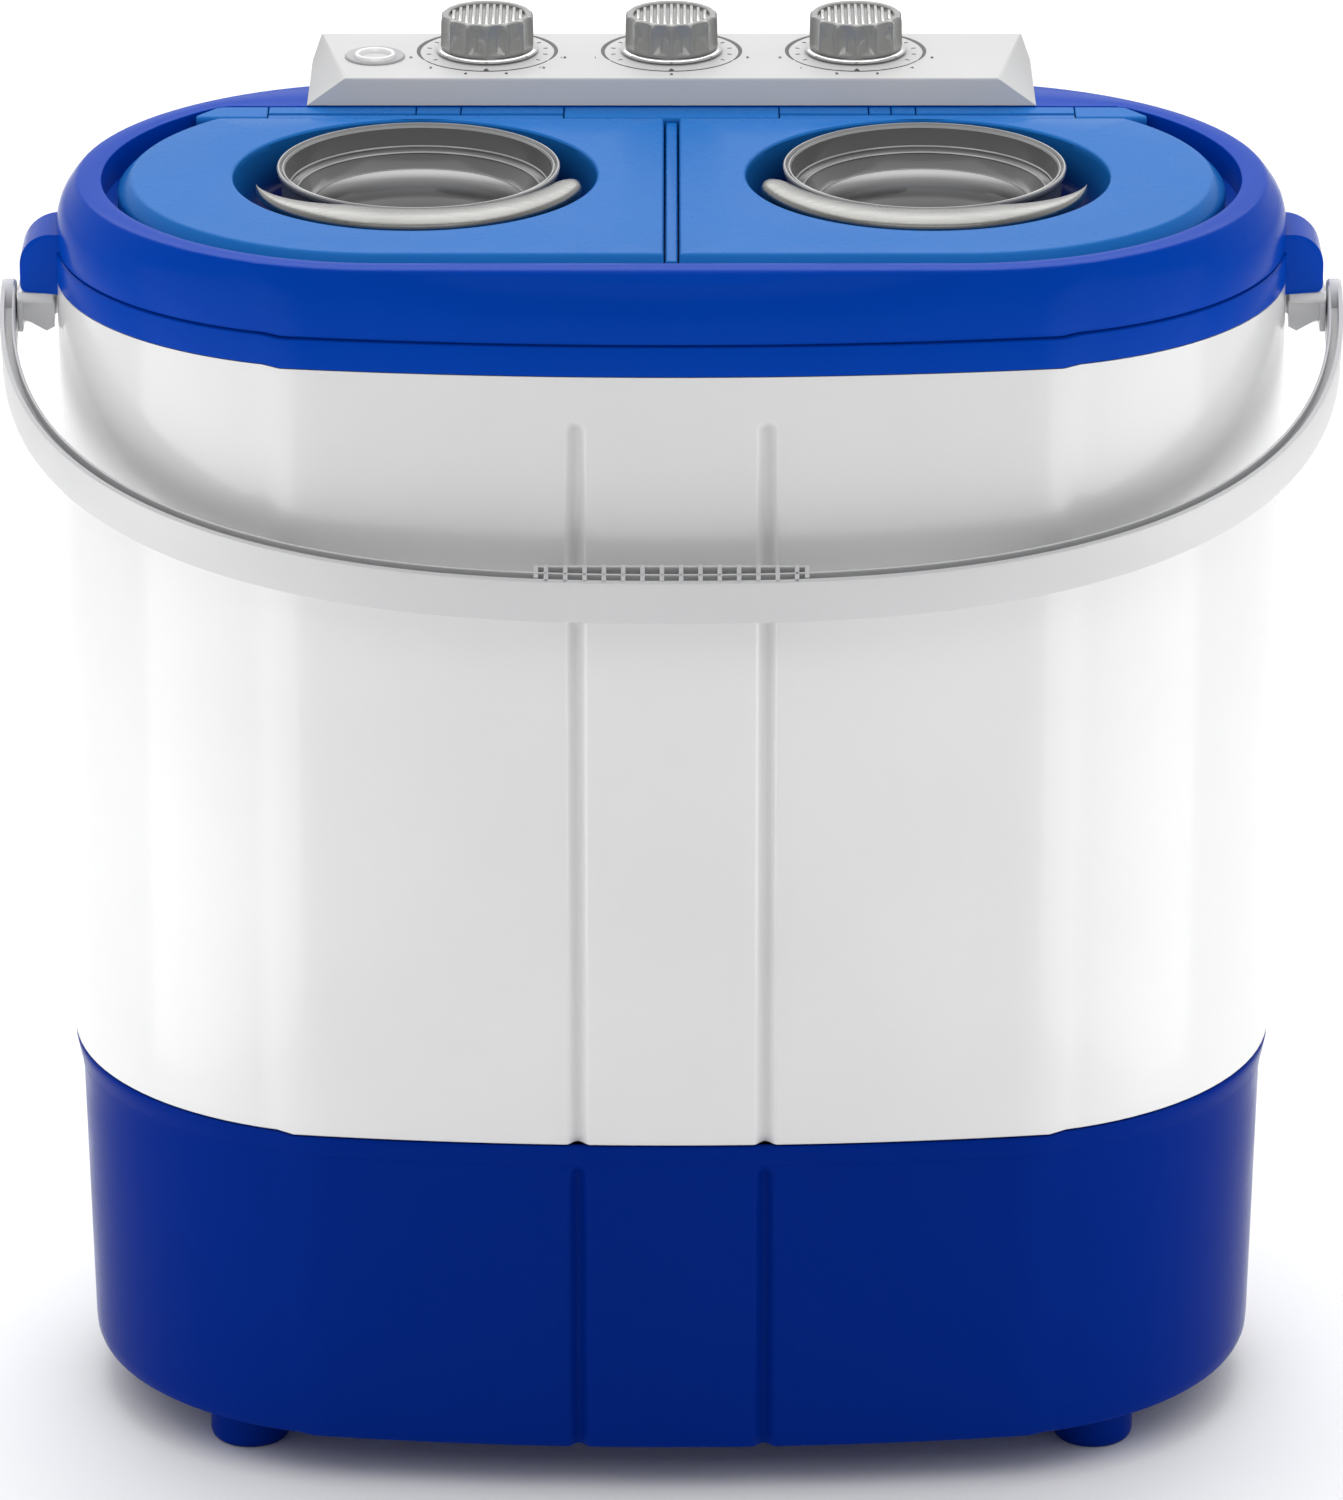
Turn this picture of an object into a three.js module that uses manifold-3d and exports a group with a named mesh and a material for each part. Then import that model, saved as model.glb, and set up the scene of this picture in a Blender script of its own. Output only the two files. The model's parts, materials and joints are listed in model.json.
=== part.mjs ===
// Portable twin tub washer: wash tub on the left, spin dryer on the right.
// Millimetres, +Z up, front face towards -Y, origin on the floor below the middle of the body.
import * as THREE from 'three';
import { mergeVertices } from 'three/addons/utils/BufferGeometryUtils.js';
import Module from 'manifold-3d';

const wasm = await Module();
wasm.setup();

// ---- Driving dimensions -------------------------------------------------------------------

const GAP = 0.3; // between pieces that touch
const WALL = 2.5; // moulded casing wall

// Plan of the body: two half-round ends, a flat back and a bowed front panel.
const END_CENTRE = 129;
const END_RADIUS = 141;
const CORNER_INNER_X = 166;
const CORNER_OUTER_X = 173;
const FRONT_PROUD = 2;
const FRONT_BOW = 7;
const OUTLINE_STEPS = 7;

// Heights of the casing, from the floor up.
const BASE_BOTTOM = 24;
const SEAM_Z = 172;
const COLLAR_BOTTOM = 528;
const SHOULDER_Z = 562;
const DECK_Z = 558;
const TOP_Z = 572;

const BASE_INSET = 2.5;
const BASE_FLOOR = 3;
const BASE_TOE = 8; // how far the foot of the base tucks in
const SERVICE_HALF_X = 50;
const SERVICE_HALF_Y = 75;
const SHELL_INSET = 0.5;
const FAR = 300; // beyond every face of the machine, for cutting blocks

// Top deck: rim, lid pocket and lids are half-round ended too, about their own centre.
const DECK_CENTRE = 124;
const RIM_RADIUS = 136;
const POCKET_RADIUS = 125;
const LID_RADIUS = 118;
const LID_TOP_RADIUS = 112;
const LID_SPLIT = 3;
const LID_REAR_Y = 82;
const HINGE_Y = 85;
const HINGE_Z = 569;
const STRIP_FRONT_Y = 88.5;
const STRIP_REAR_Y = 98.5;
const HINGE_EAR_FRONT_Y = 83;
const HINGE_EAR_TOP_Z = 571;
const EAR_NEAR_X = 54; // ears that hold each lid pin
const EAR_FAR_X = 201;
const EAR_HALF = 3;
const PIN_RADIUS = 1.2;
const PIN_HOLE_RADIUS = 1.5;

// Lid recess, window and grip, about each lid's own middle.
const RECESS_X = 112;
const RECESS_RADIUS = 81;
const RECESS_FLOOR_RADIUS = 64.5;
const RECESS_FLOOR_Y = 14;
const RECESS_FLOOR_Z = 552;
const WINDOW_X = 111;
const WINDOW_Y = 16;
const WINDOW_RADIUS = 60;
const GRIP_HALF_SPAN = 70;
const GRIP_Z = 566.5;
const GRIP_FRONT_Y = -71;
const GRIP_BACK_Y = -53;
const GRIP_TIP_Y = -13;
const GRIP_TIP_WIDTH = 5;

// Tubs.
const TUB_X = 120;
const TUB_RADIUS = 115;
const TUB_WALL = 3;
const TUB_BOTTOM = 200;
const DECK_OPENING_RADIUS = 100;

// Drain, in the floor of the wash tub.
const DRAIN_X = -78;
const DRAIN_Y = 70;

// Drive.
const WASH_MOTOR_X = -22;
const DRIVEN_BELT_RADIUS = 48.3;
const MOTOR_BELT_RADIUS = 12.3;
const BELT_THICKNESS = 3.7;
const BELT_Z = 126;
const BELT_WIDTH = 6;
const PULLEY_LOW = 122;
const PULLEY_HIGH = 136;
const WASH_MOTOR_LOW = 140;
const WASH_SHAFT_RADIUS = 6;
const SPIN_SHAFT_RADIUS = 8;
const SHAFT_GAP = 0.3;
const SPIN_MOTOR_TOP = 142;
const MOTOR_FLANGE_Z = 72;
const MOUNT_CIRCLE = 53;
const CAPACITOR_RADIUS = 17;
const CAPACITOR_X = -175;
const CAPACITOR_Y = -55;
const CAPACITOR_TOP = 88;

// Brake lever and its post, beside the drum under the spin basket.
const BRAKE_X = 168;
const BRAKE_Y = -45;
const BRAKE_LEVER_LOW = 156;
const BRAKE_LEVER_HIGH = 166;

// Spin basket and the lid inside it.
const BASKET_RADIUS = 95;
const BASKET_WALL = 2.5;
const BASKET_BOTTOM = 222;
const BASKET_TOP = 522;
const INNER_LID_Z = 500;

// Control panel.
const PANEL_FRONT_Y = 98.8;
const PANEL_BACK_Y = 168.5;
const PANEL_TOP_Z = 585;
const PANEL_BOTTOM_HALF = 163;
const PANEL_TOP_HALF = 156;
const PANEL_DROP_Z = 532;
const PANEL_DROP_HALF = 150;
const KNOB_Y = 140;
const KNOB_X = 83;
const KNOB_RADIUS = 21;
const KNOB_SKIRT_RADIUS = 22.8;
const KNOB_TOP_Z = 603;
const KNOB_FLUTES = 14;
const KNOB_SHAFT_RADIUS = 3;
const KNOB_SHAFT_TOP = 598.7;
const TIMER_FRONT_Y = 120;
const TIMER_BACK_Y = 160;
const TIMER_TOP = 576;
const TIMER_NECK_TOP = 580;
const INLET_X = -133.4;
const INLET_Y = 131.2;
const INLET_RADIUS = 9.5;
const INLET_BORE = 7;
const INLET_BOTTOM = 564;

// Bail handle: a U whose plane hangs forward and down from the pivots.
const BAIL_PIVOT_Z = 511;
const BAIL_HALF_SPAN = 294;
const BAIL_REACH = 186.5;
const BAIL_ARM = 6;
const BAIL_BAND = 7;
const BAIL_GRIP = 12;
const BAIL_GRIP_HALF = 58;
const BAIL_WIDTH = 24;
const BAIL_EXPONENT = 2.5;
const BAIL_STEPS = 30;
const BAIL_REST_ANGLE = THREE.MathUtils.degToRad(24.3);

// Ears of the collar over the bail pivots: rounded at the top, narrower at the outer end.
const EAR_INNER_X = 260;
const EAR_X = 284;
const EAR_HALF_WIDTH = 20;
const EAR_TIP_HALF_WIDTH = 13.5;
const EAR_BOTTOM = 521.7;
const EAR_TOP = 549;
const EAR_ROUND = 15;

const PIVOT_RADIUS = 4;
const BRACKET_INNER_X = 270.3;
const BRACKET_OUTER_X = 286.7;
const BRACKET_HALF = 13;

const FOOT_X = 190;
const FOOT_Y = 76;
const FOOT_RADIUS = 18;

// Back of the machine: waste outlet and cord entry through the base, service cover on the body.
const OUTLET_Z = 70;
const OUTLET_Y = 126;
const OUTLET_RADIUS = 9;
const GLAND_X = 90;
const GLAND_Y = 134;
const GLAND_Z = 60;
const GLAND_RADIUS = 7;
const COVER_HALF = 130;
const COVER_BOTTOM = 190;
const COVER_BACK_Y = 160;
const COVER_SCREW_X = 118;
const COVER_SCREW_Z = 210;

// ---- Materials ----------------------------------------------------------------------------

const COLOURS = {
  blue: [0x0a3fb4, 0.25, 0],
  white: [0xe9e9ea, 0.3, 0],
  tubWhite: [0xdfe3e6, 0.4, 0],
  greyPlastic: [0x8d9297, 0.5, 0],
  smoke: [0x6c6c6c, 0.1, 0],
  chrome: [0xd2d4d6, 0.15, 1],
  satin: [0xcfcdc8, 0.3, 0.8],
  steel: [0xa9adb0, 0.35, 1],
  rubber: [0x1e1e20, 0.8, 0],
  darkPlastic: [0x2c2e31, 0.5, 0],
};

function material(name) {
  const [color, roughness, metalness] = COLOURS[name];
  return new THREE.MeshStandardMaterial({ color, roughness, metalness });
}

// ---- Solid helpers ------------------------------------------------------------------------

function signedVolume(position, index) {
  const [a, b, c] = [new THREE.Vector3(), new THREE.Vector3(), new THREE.Vector3()];
  let volume = 0;
  for (let i = 0; i < index.length; i += 3) {
    a.fromBufferAttribute(position, index[i]);
    b.fromBufferAttribute(position, index[i + 1]);
    c.fromBufferAttribute(position, index[i + 2]);
    volume += a.dot(b.cross(c)) / 6;
  }
  return volume;
}

// Closed geometry to a manifold solid, with its faces turned outwards.
function solid(geometry) {
  geometry.deleteAttribute('normal');
  geometry.deleteAttribute('uv');
  const merged = mergeVertices(geometry, 1e-4);
  const index = [];
  for (let i = 0; i < merged.index.count; i += 3) {
    const [a, b, c] = [0, 1, 2].map((k) => merged.index.getX(i + k));
    if (a !== b && b !== c && c !== a) {
      index.push(a, b, c);
    }
  }
  if (signedVolume(merged.attributes.position, index) < 0) {
    index.reverse();
  }
  const vertProperties = new Float32Array(merged.attributes.position.array);
  const triVerts = new Uint32Array(index);
  return new wasm.Manifold(new wasm.Mesh({ numProp: 3, vertProperties, triVerts }));
}

function geometryOf(manifold) {
  const mesh = manifold.getMesh();
  const geometry = new THREE.BufferGeometry();
  geometry.setAttribute('position', new THREE.BufferAttribute(mesh.vertProperties, 3));
  geometry.setIndex(new THREE.BufferAttribute(mesh.triVerts, 1));
  geometry.computeVertexNormals();
  return geometry;
}

// Solid through a stack of outlines that all have the same number of points.
function loft(levels) {
  const count = levels[0].points.length;
  const positions = [];
  const index = [];
  for (const { points, z } of levels) {
    for (const point of points) {
      positions.push(point.x, point.y, z);
    }
  }
  for (let level = 0; level < levels.length - 1; level++) {
    for (let i = 0; i < count; i++) {
      const a = level * count + i;
      const b = level * count + ((i + 1) % count);
      index.push(a, b, b + count, a, b + count, a + count);
    }
  }
  const top = (levels.length - 1) * count;
  for (const [a, b, c] of THREE.ShapeUtils.triangulateShape(levels[0].points, [])) {
    index.push(c, b, a);
  }
  for (const [a, b, c] of THREE.ShapeUtils.triangulateShape(levels.at(-1).points, [])) {
    index.push(top + a, top + b, top + c);
  }
  const geometry = new THREE.BufferGeometry();
  geometry.setAttribute('position', new THREE.Float32BufferAttribute(positions, 3));
  geometry.setIndex(index);
  return solid(geometry);
}

function prism(points, low, high) {
  return loft([{ points, z: low }, { points, z: high }]);
}

function box(low, high) {
  const size = high.map((value, i) => value - low[i]);
  const geometry = new THREE.BoxGeometry(...size);
  geometry.translate(...high.map((value, i) => (value + low[i]) / 2));
  return solid(geometry);
}

// Solid of revolution about a vertical axis; the profile is [radius, height] pairs.
function turned(profile, x = 0, y = 0, segments = 32) {
  const points = profile.map(([radius, height]) => new THREE.Vector2(radius, height));
  if (points[0].x > 0 || points.at(-1).x > 0) {
    points.push(points[0].clone());
  }
  const geometry = new THREE.LatheGeometry(points, segments);
  geometry.rotateX(Math.PI / 2);
  geometry.translate(x, y, 0);
  return solid(geometry);
}

function rod(radius, x, y, low, high, segments = 16) {
  return turned([[0, low], [radius, low], [radius, high], [0, high]], x, y, segments);
}

// Round bar along X (axis 0) or Y (axis 1) from `low` to `high`.
function bar(axis, radius, centre, low, high, segments = 16) {
  const geometry = new THREE.CylinderGeometry(radius, radius, high - low, segments);
  if (axis === 0) {
    geometry.rotateZ(Math.PI / 2);
    geometry.translate((low + high) / 2, centre[0], centre[1]);
  } else {
    geometry.translate(centre[0], (low + high) / 2, centre[1]);
  }
  return solid(geometry);
}

function circle(x, y, radius, count = 28) {
  return Array.from({ length: count }, (_, i) => {
    const angle = (2 * Math.PI * i) / count;
    return new THREE.Vector2(x + radius * Math.cos(angle), y + radius * Math.sin(angle));
  });
}

// ---- Outlines -----------------------------------------------------------------------------

// Points of a closed outline, each corner once.
function openLoop(shape, steps = OUTLINE_STEPS) {
  const points = shape.getPoints(steps);
  return points.filter((point, i) => point.distanceTo(points.at(i - 1)) > 1e-6);
}

// Casing outline: ends of the given radius, corner chamfers and the bowed front panel.
function planOutline(radius, centre = END_CENTRE, bow = FRONT_BOW, proud = FRONT_PROUD) {
  const cornerAngle = Math.asin((CORNER_OUTER_X - centre) / radius);
  const edgeY = -Math.sqrt(radius ** 2 - (CORNER_INNER_X - centre) ** 2) - proud;
  const shape = new THREE.Shape();
  shape.moveTo(centre, radius);
  shape.lineTo(-centre, radius);
  shape.absarc(-centre, 0, radius, Math.PI / 2, 1.5 * Math.PI - cornerAngle, false);
  shape.lineTo(-CORNER_INNER_X, edgeY);
  shape.quadraticCurveTo(0, edgeY - 2 * bow, CORNER_INNER_X, edgeY);
  shape.lineTo(CORNER_OUTER_X, -radius * Math.cos(cornerAngle));
  shape.absarc(centre, 0, radius, -Math.PI / 2 + cornerAngle, Math.PI / 2, false);
  return openLoop(shape);
}

const casing = (inset) => planOutline(END_RADIUS - inset);

function stadium(radius, centre = DECK_CENTRE) {
  const shape = new THREE.Shape();
  shape.moveTo(centre, radius);
  shape.lineTo(-centre, radius);
  shape.absarc(-centre, 0, radius, Math.PI / 2, 1.5 * Math.PI, false);
  shape.lineTo(centre, -radius);
  shape.absarc(centre, 0, radius, -Math.PI / 2, Math.PI / 2, false);
  return openLoop(shape, 9);
}

// ---- Casing -------------------------------------------------------------------------------

function makeBaseHousing() {
  const outer = loft([
    { points: casing(BASE_INSET + BASE_TOE), z: BASE_BOTTOM },
    { points: casing(BASE_INSET + 3), z: BASE_BOTTOM + 3 },
    { points: casing(BASE_INSET + 1), z: BASE_BOTTOM + 12 },
    { points: casing(BASE_INSET), z: SEAM_Z - GAP / 2 },
  ]);
  const inner = loft([
    { points: casing(BASE_INSET + BASE_TOE), z: BASE_BOTTOM + BASE_FLOOR },
    { points: casing(BASE_INSET + 4), z: BASE_BOTTOM + 15 },
    { points: casing(BASE_INSET + 3), z: SEAM_Z + 10 },
  ]);
  const service = box(
    [-SERVICE_HALF_X, -SERVICE_HALF_Y, BASE_BOTTOM - 5],
    [SERVICE_HALF_X, SERVICE_HALF_Y, BASE_BOTTOM + 10],
  );
  const outletHole = bar(1, OUTLET_RADIUS + 0.5, [0, OUTLET_Z], 120, 150);
  const glandHole = bar(1, GLAND_RADIUS + 0.5, [GLAND_X, GLAND_Z], 120, 150);
  const postTop = BRAKE_LEVER_LOW - GAP;
  const brakePost = rod(6, BRAKE_X, BRAKE_Y, BASE_BOTTOM + 2, postTop, 12);
  return outer.subtract(inner).subtract(service).subtract(outletHole).subtract(glandHole)
    .add(brakePost);
}

// Cover over the service opening, resting on the base floor.
function makeBottomPlate() {
  const low = BASE_BOTTOM + BASE_FLOOR + GAP;
  const halfX = SERVICE_HALF_X + 8;
  const halfY = SERVICE_HALF_Y + 9;
  return box([-halfX, -halfY, low], [halfX, halfY, low + 3]);
}

function makeFoot(x, y) {
  const top = BASE_BOTTOM - GAP;
  const profile = [[0, 0], [FOOT_RADIUS - 3, 0], [FOOT_RADIUS, 3], [FOOT_RADIUS, top], [0, top]];
  return turned(profile, x, y, 24);
}

function makeBodyShell() {
  const outer = prism(casing(SHELL_INSET), SEAM_Z + GAP / 2, COLLAR_BOTTOM - GAP / 2);
  const inner = prism(casing(SHELL_INSET + WALL), SEAM_Z - 5, COLLAR_BOTTOM + 5);
  return outer.subtract(inner);
}

function makeEar(side) {
  // Seen from the front: flat underside, quarter round above the outer end.
  const arch = new THREE.Shape();
  arch.moveTo(EAR_INNER_X, EAR_BOTTOM);
  arch.lineTo(EAR_X - 3, EAR_BOTTOM);
  arch.quadraticCurveTo(EAR_X, EAR_BOTTOM, EAR_X, EAR_BOTTOM + 3);
  arch.lineTo(EAR_X, EAR_TOP - EAR_ROUND);
  arch.absarc(EAR_X - EAR_ROUND, EAR_TOP - EAR_ROUND, EAR_ROUND, 0, Math.PI / 2, false);
  arch.lineTo(EAR_INNER_X, EAR_TOP);
  const geometry = new THREE.ExtrudeGeometry(arch, {
    depth: 2 * EAR_HALF_WIDTH,
    bevelEnabled: false,
    curveSegments: 5,
  });
  geometry.rotateX(Math.PI / 2);
  geometry.translate(0, EAR_HALF_WIDTH, 0);
  // Seen from above: the sides draw in towards the outer end.
  const plan = [
    new THREE.Vector2(EAR_INNER_X - 5, -EAR_HALF_WIDTH - 5),
    new THREE.Vector2(EAR_X, -EAR_TIP_HALF_WIDTH),
    new THREE.Vector2(EAR_X, EAR_TIP_HALF_WIDTH),
    new THREE.Vector2(EAR_INNER_X - 5, EAR_HALF_WIDTH + 5),
  ];
  const shellClearance = prism(casing(-GAP), EAR_BOTTOM - 5, COLLAR_BOTTOM + GAP / 2);
  const hollow = prism(casing(WALL), COLLAR_BOTTOM - 5, DECK_Z);
  const ear = solid(geometry).intersect(prism(plan, EAR_BOTTOM - 1, EAR_TOP + 1));
  return ear.rotate([0, 0, side < 0 ? 180 : 0]).subtract(shellClearance).subtract(hollow);
}

function makeTopCollar() {
  const rim = planOutline(RIM_RADIUS, DECK_CENTRE, 0, 0);
  const shoulder = planOutline((END_RADIUS + RIM_RADIUS) / 2, (END_CENTRE + DECK_CENTRE) / 2, 5, 1);
  let collar = loft([
    { points: casing(0), z: COLLAR_BOTTOM + GAP / 2 },
    { points: casing(0), z: SHOULDER_Z },
    { points: shoulder, z: SHOULDER_Z + 7 },
    { points: rim, z: TOP_Z },
  ]);
  collar = collar.subtract(prism(casing(WALL), COLLAR_BOTTOM - 5, DECK_Z - 4));
  const pocket = prism(stadium(POCKET_RADIUS), DECK_Z, TOP_Z + 5);
  collar = collar.subtract(pocket.intersect(box([-FAR, -FAR, 500], [FAR, PANEL_FRONT_Y, 600])));
  for (const side of [-1, 1]) {
    const mouth = rod(DECK_OPENING_RADIUS, side * TUB_X, 0, DECK_Z - 10, DECK_Z + 5, 28);
    collar = collar.subtract(mouth).add(makeEar(side));
  }
  // Room below the control panel for the timers.
  const roomFront = PANEL_FRONT_Y + 5.2;
  const room = box([-PANEL_DROP_HALF, roomFront, DECK_Z], [PANEL_DROP_HALF, TIMER_BACK_Y, TOP_Z + 10]);
  return collar.subtract(room);
}

function makeHingeStrip() {
  const band = box([-FAR, STRIP_FRONT_Y, 500], [FAR, STRIP_REAR_Y, 600]);
  let strip = prism(stadium(POCKET_RADIUS - GAP), DECK_Z + GAP, TOP_Z - GAP).intersect(band);
  for (const x of [-EAR_FAR_X, -EAR_NEAR_X, EAR_NEAR_X, EAR_FAR_X]) {
    const low = [x - EAR_HALF, HINGE_EAR_FRONT_Y, HINGE_Z - 4];
    strip = strip.add(box(low, [x + EAR_HALF, STRIP_FRONT_Y + 1.5, HINGE_EAR_TOP_Z]));
  }
  const reach = EAR_FAR_X + 9;
  return strip.subtract(bar(0, PIN_HOLE_RADIUS, [HINGE_Y, HINGE_Z], -reach, reach, 12));
}

function makeLidPin(side) {
  const ends = [side * (EAR_NEAR_X - 2), side * (EAR_FAR_X + 2)].sort((a, b) => a - b);
  return bar(0, PIN_RADIUS, [HINGE_Y, HINGE_Z], ...ends, 12);
}

// Outer box and hollow of the control panel, with the drop behind the collar.
function makeControlPanel() {
  const rectangle = (halfX, front, back) => [
    new THREE.Vector2(-halfX, front),
    new THREE.Vector2(halfX, front),
    new THREE.Vector2(halfX, back),
    new THREE.Vector2(-halfX, back),
  ];
  const top = loft([
    { points: rectangle(PANEL_BOTTOM_HALF, PANEL_FRONT_Y, PANEL_BACK_Y), z: TOP_Z + GAP },
    { points: rectangle(PANEL_TOP_HALF, PANEL_FRONT_Y, PANEL_BACK_Y), z: PANEL_TOP_Z },
  ]);
  const back = END_RADIUS + GAP;
  const half = PANEL_DROP_HALF;
  const drop = box([-half, back, PANEL_DROP_Z], [half, PANEL_BACK_Y, PANEL_TOP_Z - 1]);
  const inside = PANEL_BACK_Y - WALL;
  const roof = PANEL_TOP_Z - WALL;
  const hollow = box([-half, PANEL_FRONT_Y + WALL, TOP_Z - 1], [half, inside, roof]);
  const dropHollow = box([3 - half, back - 5, PANEL_DROP_Z - 5], [half - 3, inside, roof]);
  let panel = top.add(drop).subtract(hollow).subtract(dropHollow);
  for (const x of [-KNOB_X, 0, KNOB_X]) {
    const hole = rod(KNOB_SHAFT_RADIUS + 1.5, x, KNOB_Y, roof - 5, PANEL_TOP_Z + 5, 12);
    panel = panel.subtract(hole);
  }
  const inlet = rod(INLET_RADIUS + 0.5, INLET_X, INLET_Y, roof - 5, PANEL_TOP_Z + 5, 20);
  return panel.subtract(inlet);
}

function makeInletPort() {
  const top = PANEL_TOP_Z + GAP;
  const lip = INLET_RADIUS + 3.5;
  const profile = [
    [INLET_BORE, INLET_BOTTOM], [INLET_RADIUS, INLET_BOTTOM], [INLET_RADIUS, top],
    [lip, top], [lip, top + 1.5], [INLET_BORE, top + 1.5],
  ];
  return turned(profile, INLET_X, INLET_Y, 20);
}

function makeRearCover() {
  const half = COVER_HALF;
  const back = COVER_BACK_Y;
  const outer = box([-half, END_RADIUS + GAP, COVER_BOTTOM], [half, back, PANEL_DROP_Z - GAP]);
  const low = [3 - half, 130, COVER_BOTTOM + 3];
  return outer.subtract(box(low, [half - 3, back - WALL, PANEL_DROP_Z + 5]));
}

function makeCoverScrew(x) {
  return bar(1, 4, [x, COVER_SCREW_Z], COVER_BACK_Y + GAP, COVER_BACK_Y + 2.5, 12);
}

// ---- Lids ---------------------------------------------------------------------------------

// Eccentric bowl of the lid recess, grown outwards by `grow` and sunk by `sink`.
function recessBowl(side, grow, sink, top) {
  return loft([
    { points: circle(side * WINDOW_X, RECESS_FLOOR_Y, RECESS_FLOOR_RADIUS + grow), z: RECESS_FLOOR_Z - sink },
    { points: circle(side * RECESS_X, 0, RECESS_RADIUS + grow), z: TOP_Z },
    { points: circle(side * RECESS_X, 0, RECESS_RADIUS + grow), z: top },
  ]);
}

// One side of the split between the lids, up to the rear edge.
function lidHalf(side, split, rearY) {
  const across = [side * split, side * FAR].sort((a, b) => a - b);
  return box([across[0], -FAR, 500], [across[1], rearY, 600]);
}

function makeLid(side) {
  const underside = DECK_Z + 1;
  const outer = loft([
    { points: stadium(LID_RADIUS), z: underside },
    { points: stadium(LID_RADIUS), z: TOP_Z - 6 },
    { points: stadium(LID_TOP_RADIUS + 1.5), z: TOP_Z - 1.5 },
    { points: stadium(LID_TOP_RADIUS), z: TOP_Z },
  ]).intersect(lidHalf(side, LID_SPLIT, LID_REAR_Y));
  const inner = prism(stadium(LID_TOP_RADIUS), underside - 5, TOP_Z - WALL)
    .intersect(lidHalf(side, LID_SPLIT + WALL, LID_REAR_Y - WALL));
  const bowl = recessBowl(side, WALL, 3, TOP_Z - 0.01)
    .intersect(box([-FAR, -FAR, 500], [FAR, FAR, TOP_Z]));
  const holeTop = RECESS_FLOOR_Z + 4;
  const windowHole = rod(WINDOW_RADIUS + GAP, side * WINDOW_X, WINDOW_Y, 500, holeTop, 28);
  const clear = EAR_HALF + 1;
  const barrel = [side * (EAR_NEAR_X + clear), side * (EAR_FAR_X - clear)].sort((a, b) => a - b);
  return outer.subtract(inner)
    .add(bowl)
    .subtract(recessBowl(side, 0, 0, TOP_Z + 5))
    .subtract(windowHole)
    .add(box([barrel[0], LID_REAR_Y - 4, HINGE_Z - 3], [barrel[1], HINGE_Y, HINGE_Z]))
    .add(bar(0, 3, [HINGE_Y, HINGE_Z], barrel[0], barrel[1], 12))
    .subtract(bar(0, PIN_HOLE_RADIUS, [HINGE_Y, HINGE_Z], barrel[0] - 5, barrel[1] + 5, 12));
}

function makeWindow(side) {
  const r = WINDOW_RADIUS;
  const profile = [
    [0, 547], [r - 12, 547], [r, 554], [r, 567], [r + 2, 568], [r + 2, 571], [r - 1, 571],
    [r - 3, 560], [r - 7, 559], [r - 14, 552], [0, 555],
  ];
  return turned(profile, side * WINDOW_X, WINDOW_Y, 28);
}

// Arc through (-halfSpan, tipY) and (halfSpan, tipY) that reaches frontY in the middle.
function bowThrough(halfSpan, tipY, frontY, steps) {
  const sagitta = tipY - frontY;
  const radius = (halfSpan ** 2 + sagitta ** 2) / (2 * sagitta);
  const half = Math.asin(halfSpan / radius);
  return Array.from({ length: steps + 1 }, (_, i) => {
    const angle = -half + (2 * half * i) / steps;
    const x = radius * Math.sin(angle);
    return new THREE.Vector2(x, frontY + radius - radius * Math.cos(angle));
  });
}

function makeGrip(side) {
  const tip = GRIP_TIP_WIDTH / 2;
  const front = bowThrough(GRIP_HALF_SPAN, GRIP_TIP_Y - tip, GRIP_FRONT_Y, 14);
  const back = bowThrough(GRIP_HALF_SPAN, GRIP_TIP_Y + tip, GRIP_BACK_Y, 14).reverse();
  const outline = [...front, ...back];
  const slim = outline.map((point, i) => {
    const partner = outline[outline.length - 1 - i];
    return point.clone().lerp(partner, 0.15);
  });
  const middle = side * RECESS_X;
  const shift = (points) => points.map(({ x, y }) => new THREE.Vector2(x + middle, y));
  return loft([
    { points: shift(slim), z: GRIP_Z },
    { points: shift(outline), z: GRIP_Z + 3 },
    { points: shift(outline), z: GRIP_Z + 5 },
    { points: shift(slim), z: GRIP_Z + 7.5 },
  ]);
}

// ---- Bail handle --------------------------------------------------------------------------

// Upper half of a superellipse, from +X round to -X.
function superArc(halfX, halfY, steps = BAIL_STEPS) {
  return Array.from({ length: steps + 1 }, (_, i) => {
    const angle = (Math.PI * i) / steps;
    const [c, s] = [Math.cos(angle), Math.sin(angle)];
    const x = Math.sign(c) * halfX * Math.abs(c) ** (2 / BAIL_EXPONENT);
    return new THREE.Vector2(x, halfY * Math.abs(s) ** (2 / BAIL_EXPONENT));
  });
}

// Drawn in its own plane: pivots on X, reach along +Y, band width along Z.
function makeBail() {
  const half = BAIL_WIDTH / 2;
  const outer = superArc(BAIL_HALF_SPAN, BAIL_REACH);
  const inner = superArc(BAIL_HALF_SPAN - BAIL_ARM, BAIL_REACH - BAIL_BAND).reverse();
  const gripInner = BAIL_REACH - BAIL_GRIP;
  let bail = prism([...outer, ...inner], -half, half);
  bail = bail.add(box([-BAIL_GRIP_HALF, gripInner, -half], [BAIL_GRIP_HALF, BAIL_REACH - 6, 0]));
  for (const side of [-1, 1]) {
    const span = [side * (BAIL_HALF_SPAN - BAIL_ARM), side * BAIL_HALF_SPAN].sort((a, b) => a - b);
    const stub = [side * (BRACKET_INNER_X + 1.7), side * (BAIL_HALF_SPAN - 1)].sort((a, b) => a - b);
    bail = bail.add(bar(0, half, [0, 0], span[0], span[1], 20));
    bail = bail.add(bar(0, PIVOT_RADIUS, [0, 0], stub[0], stub[1], 12));
  }
  return bail;
}

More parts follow.
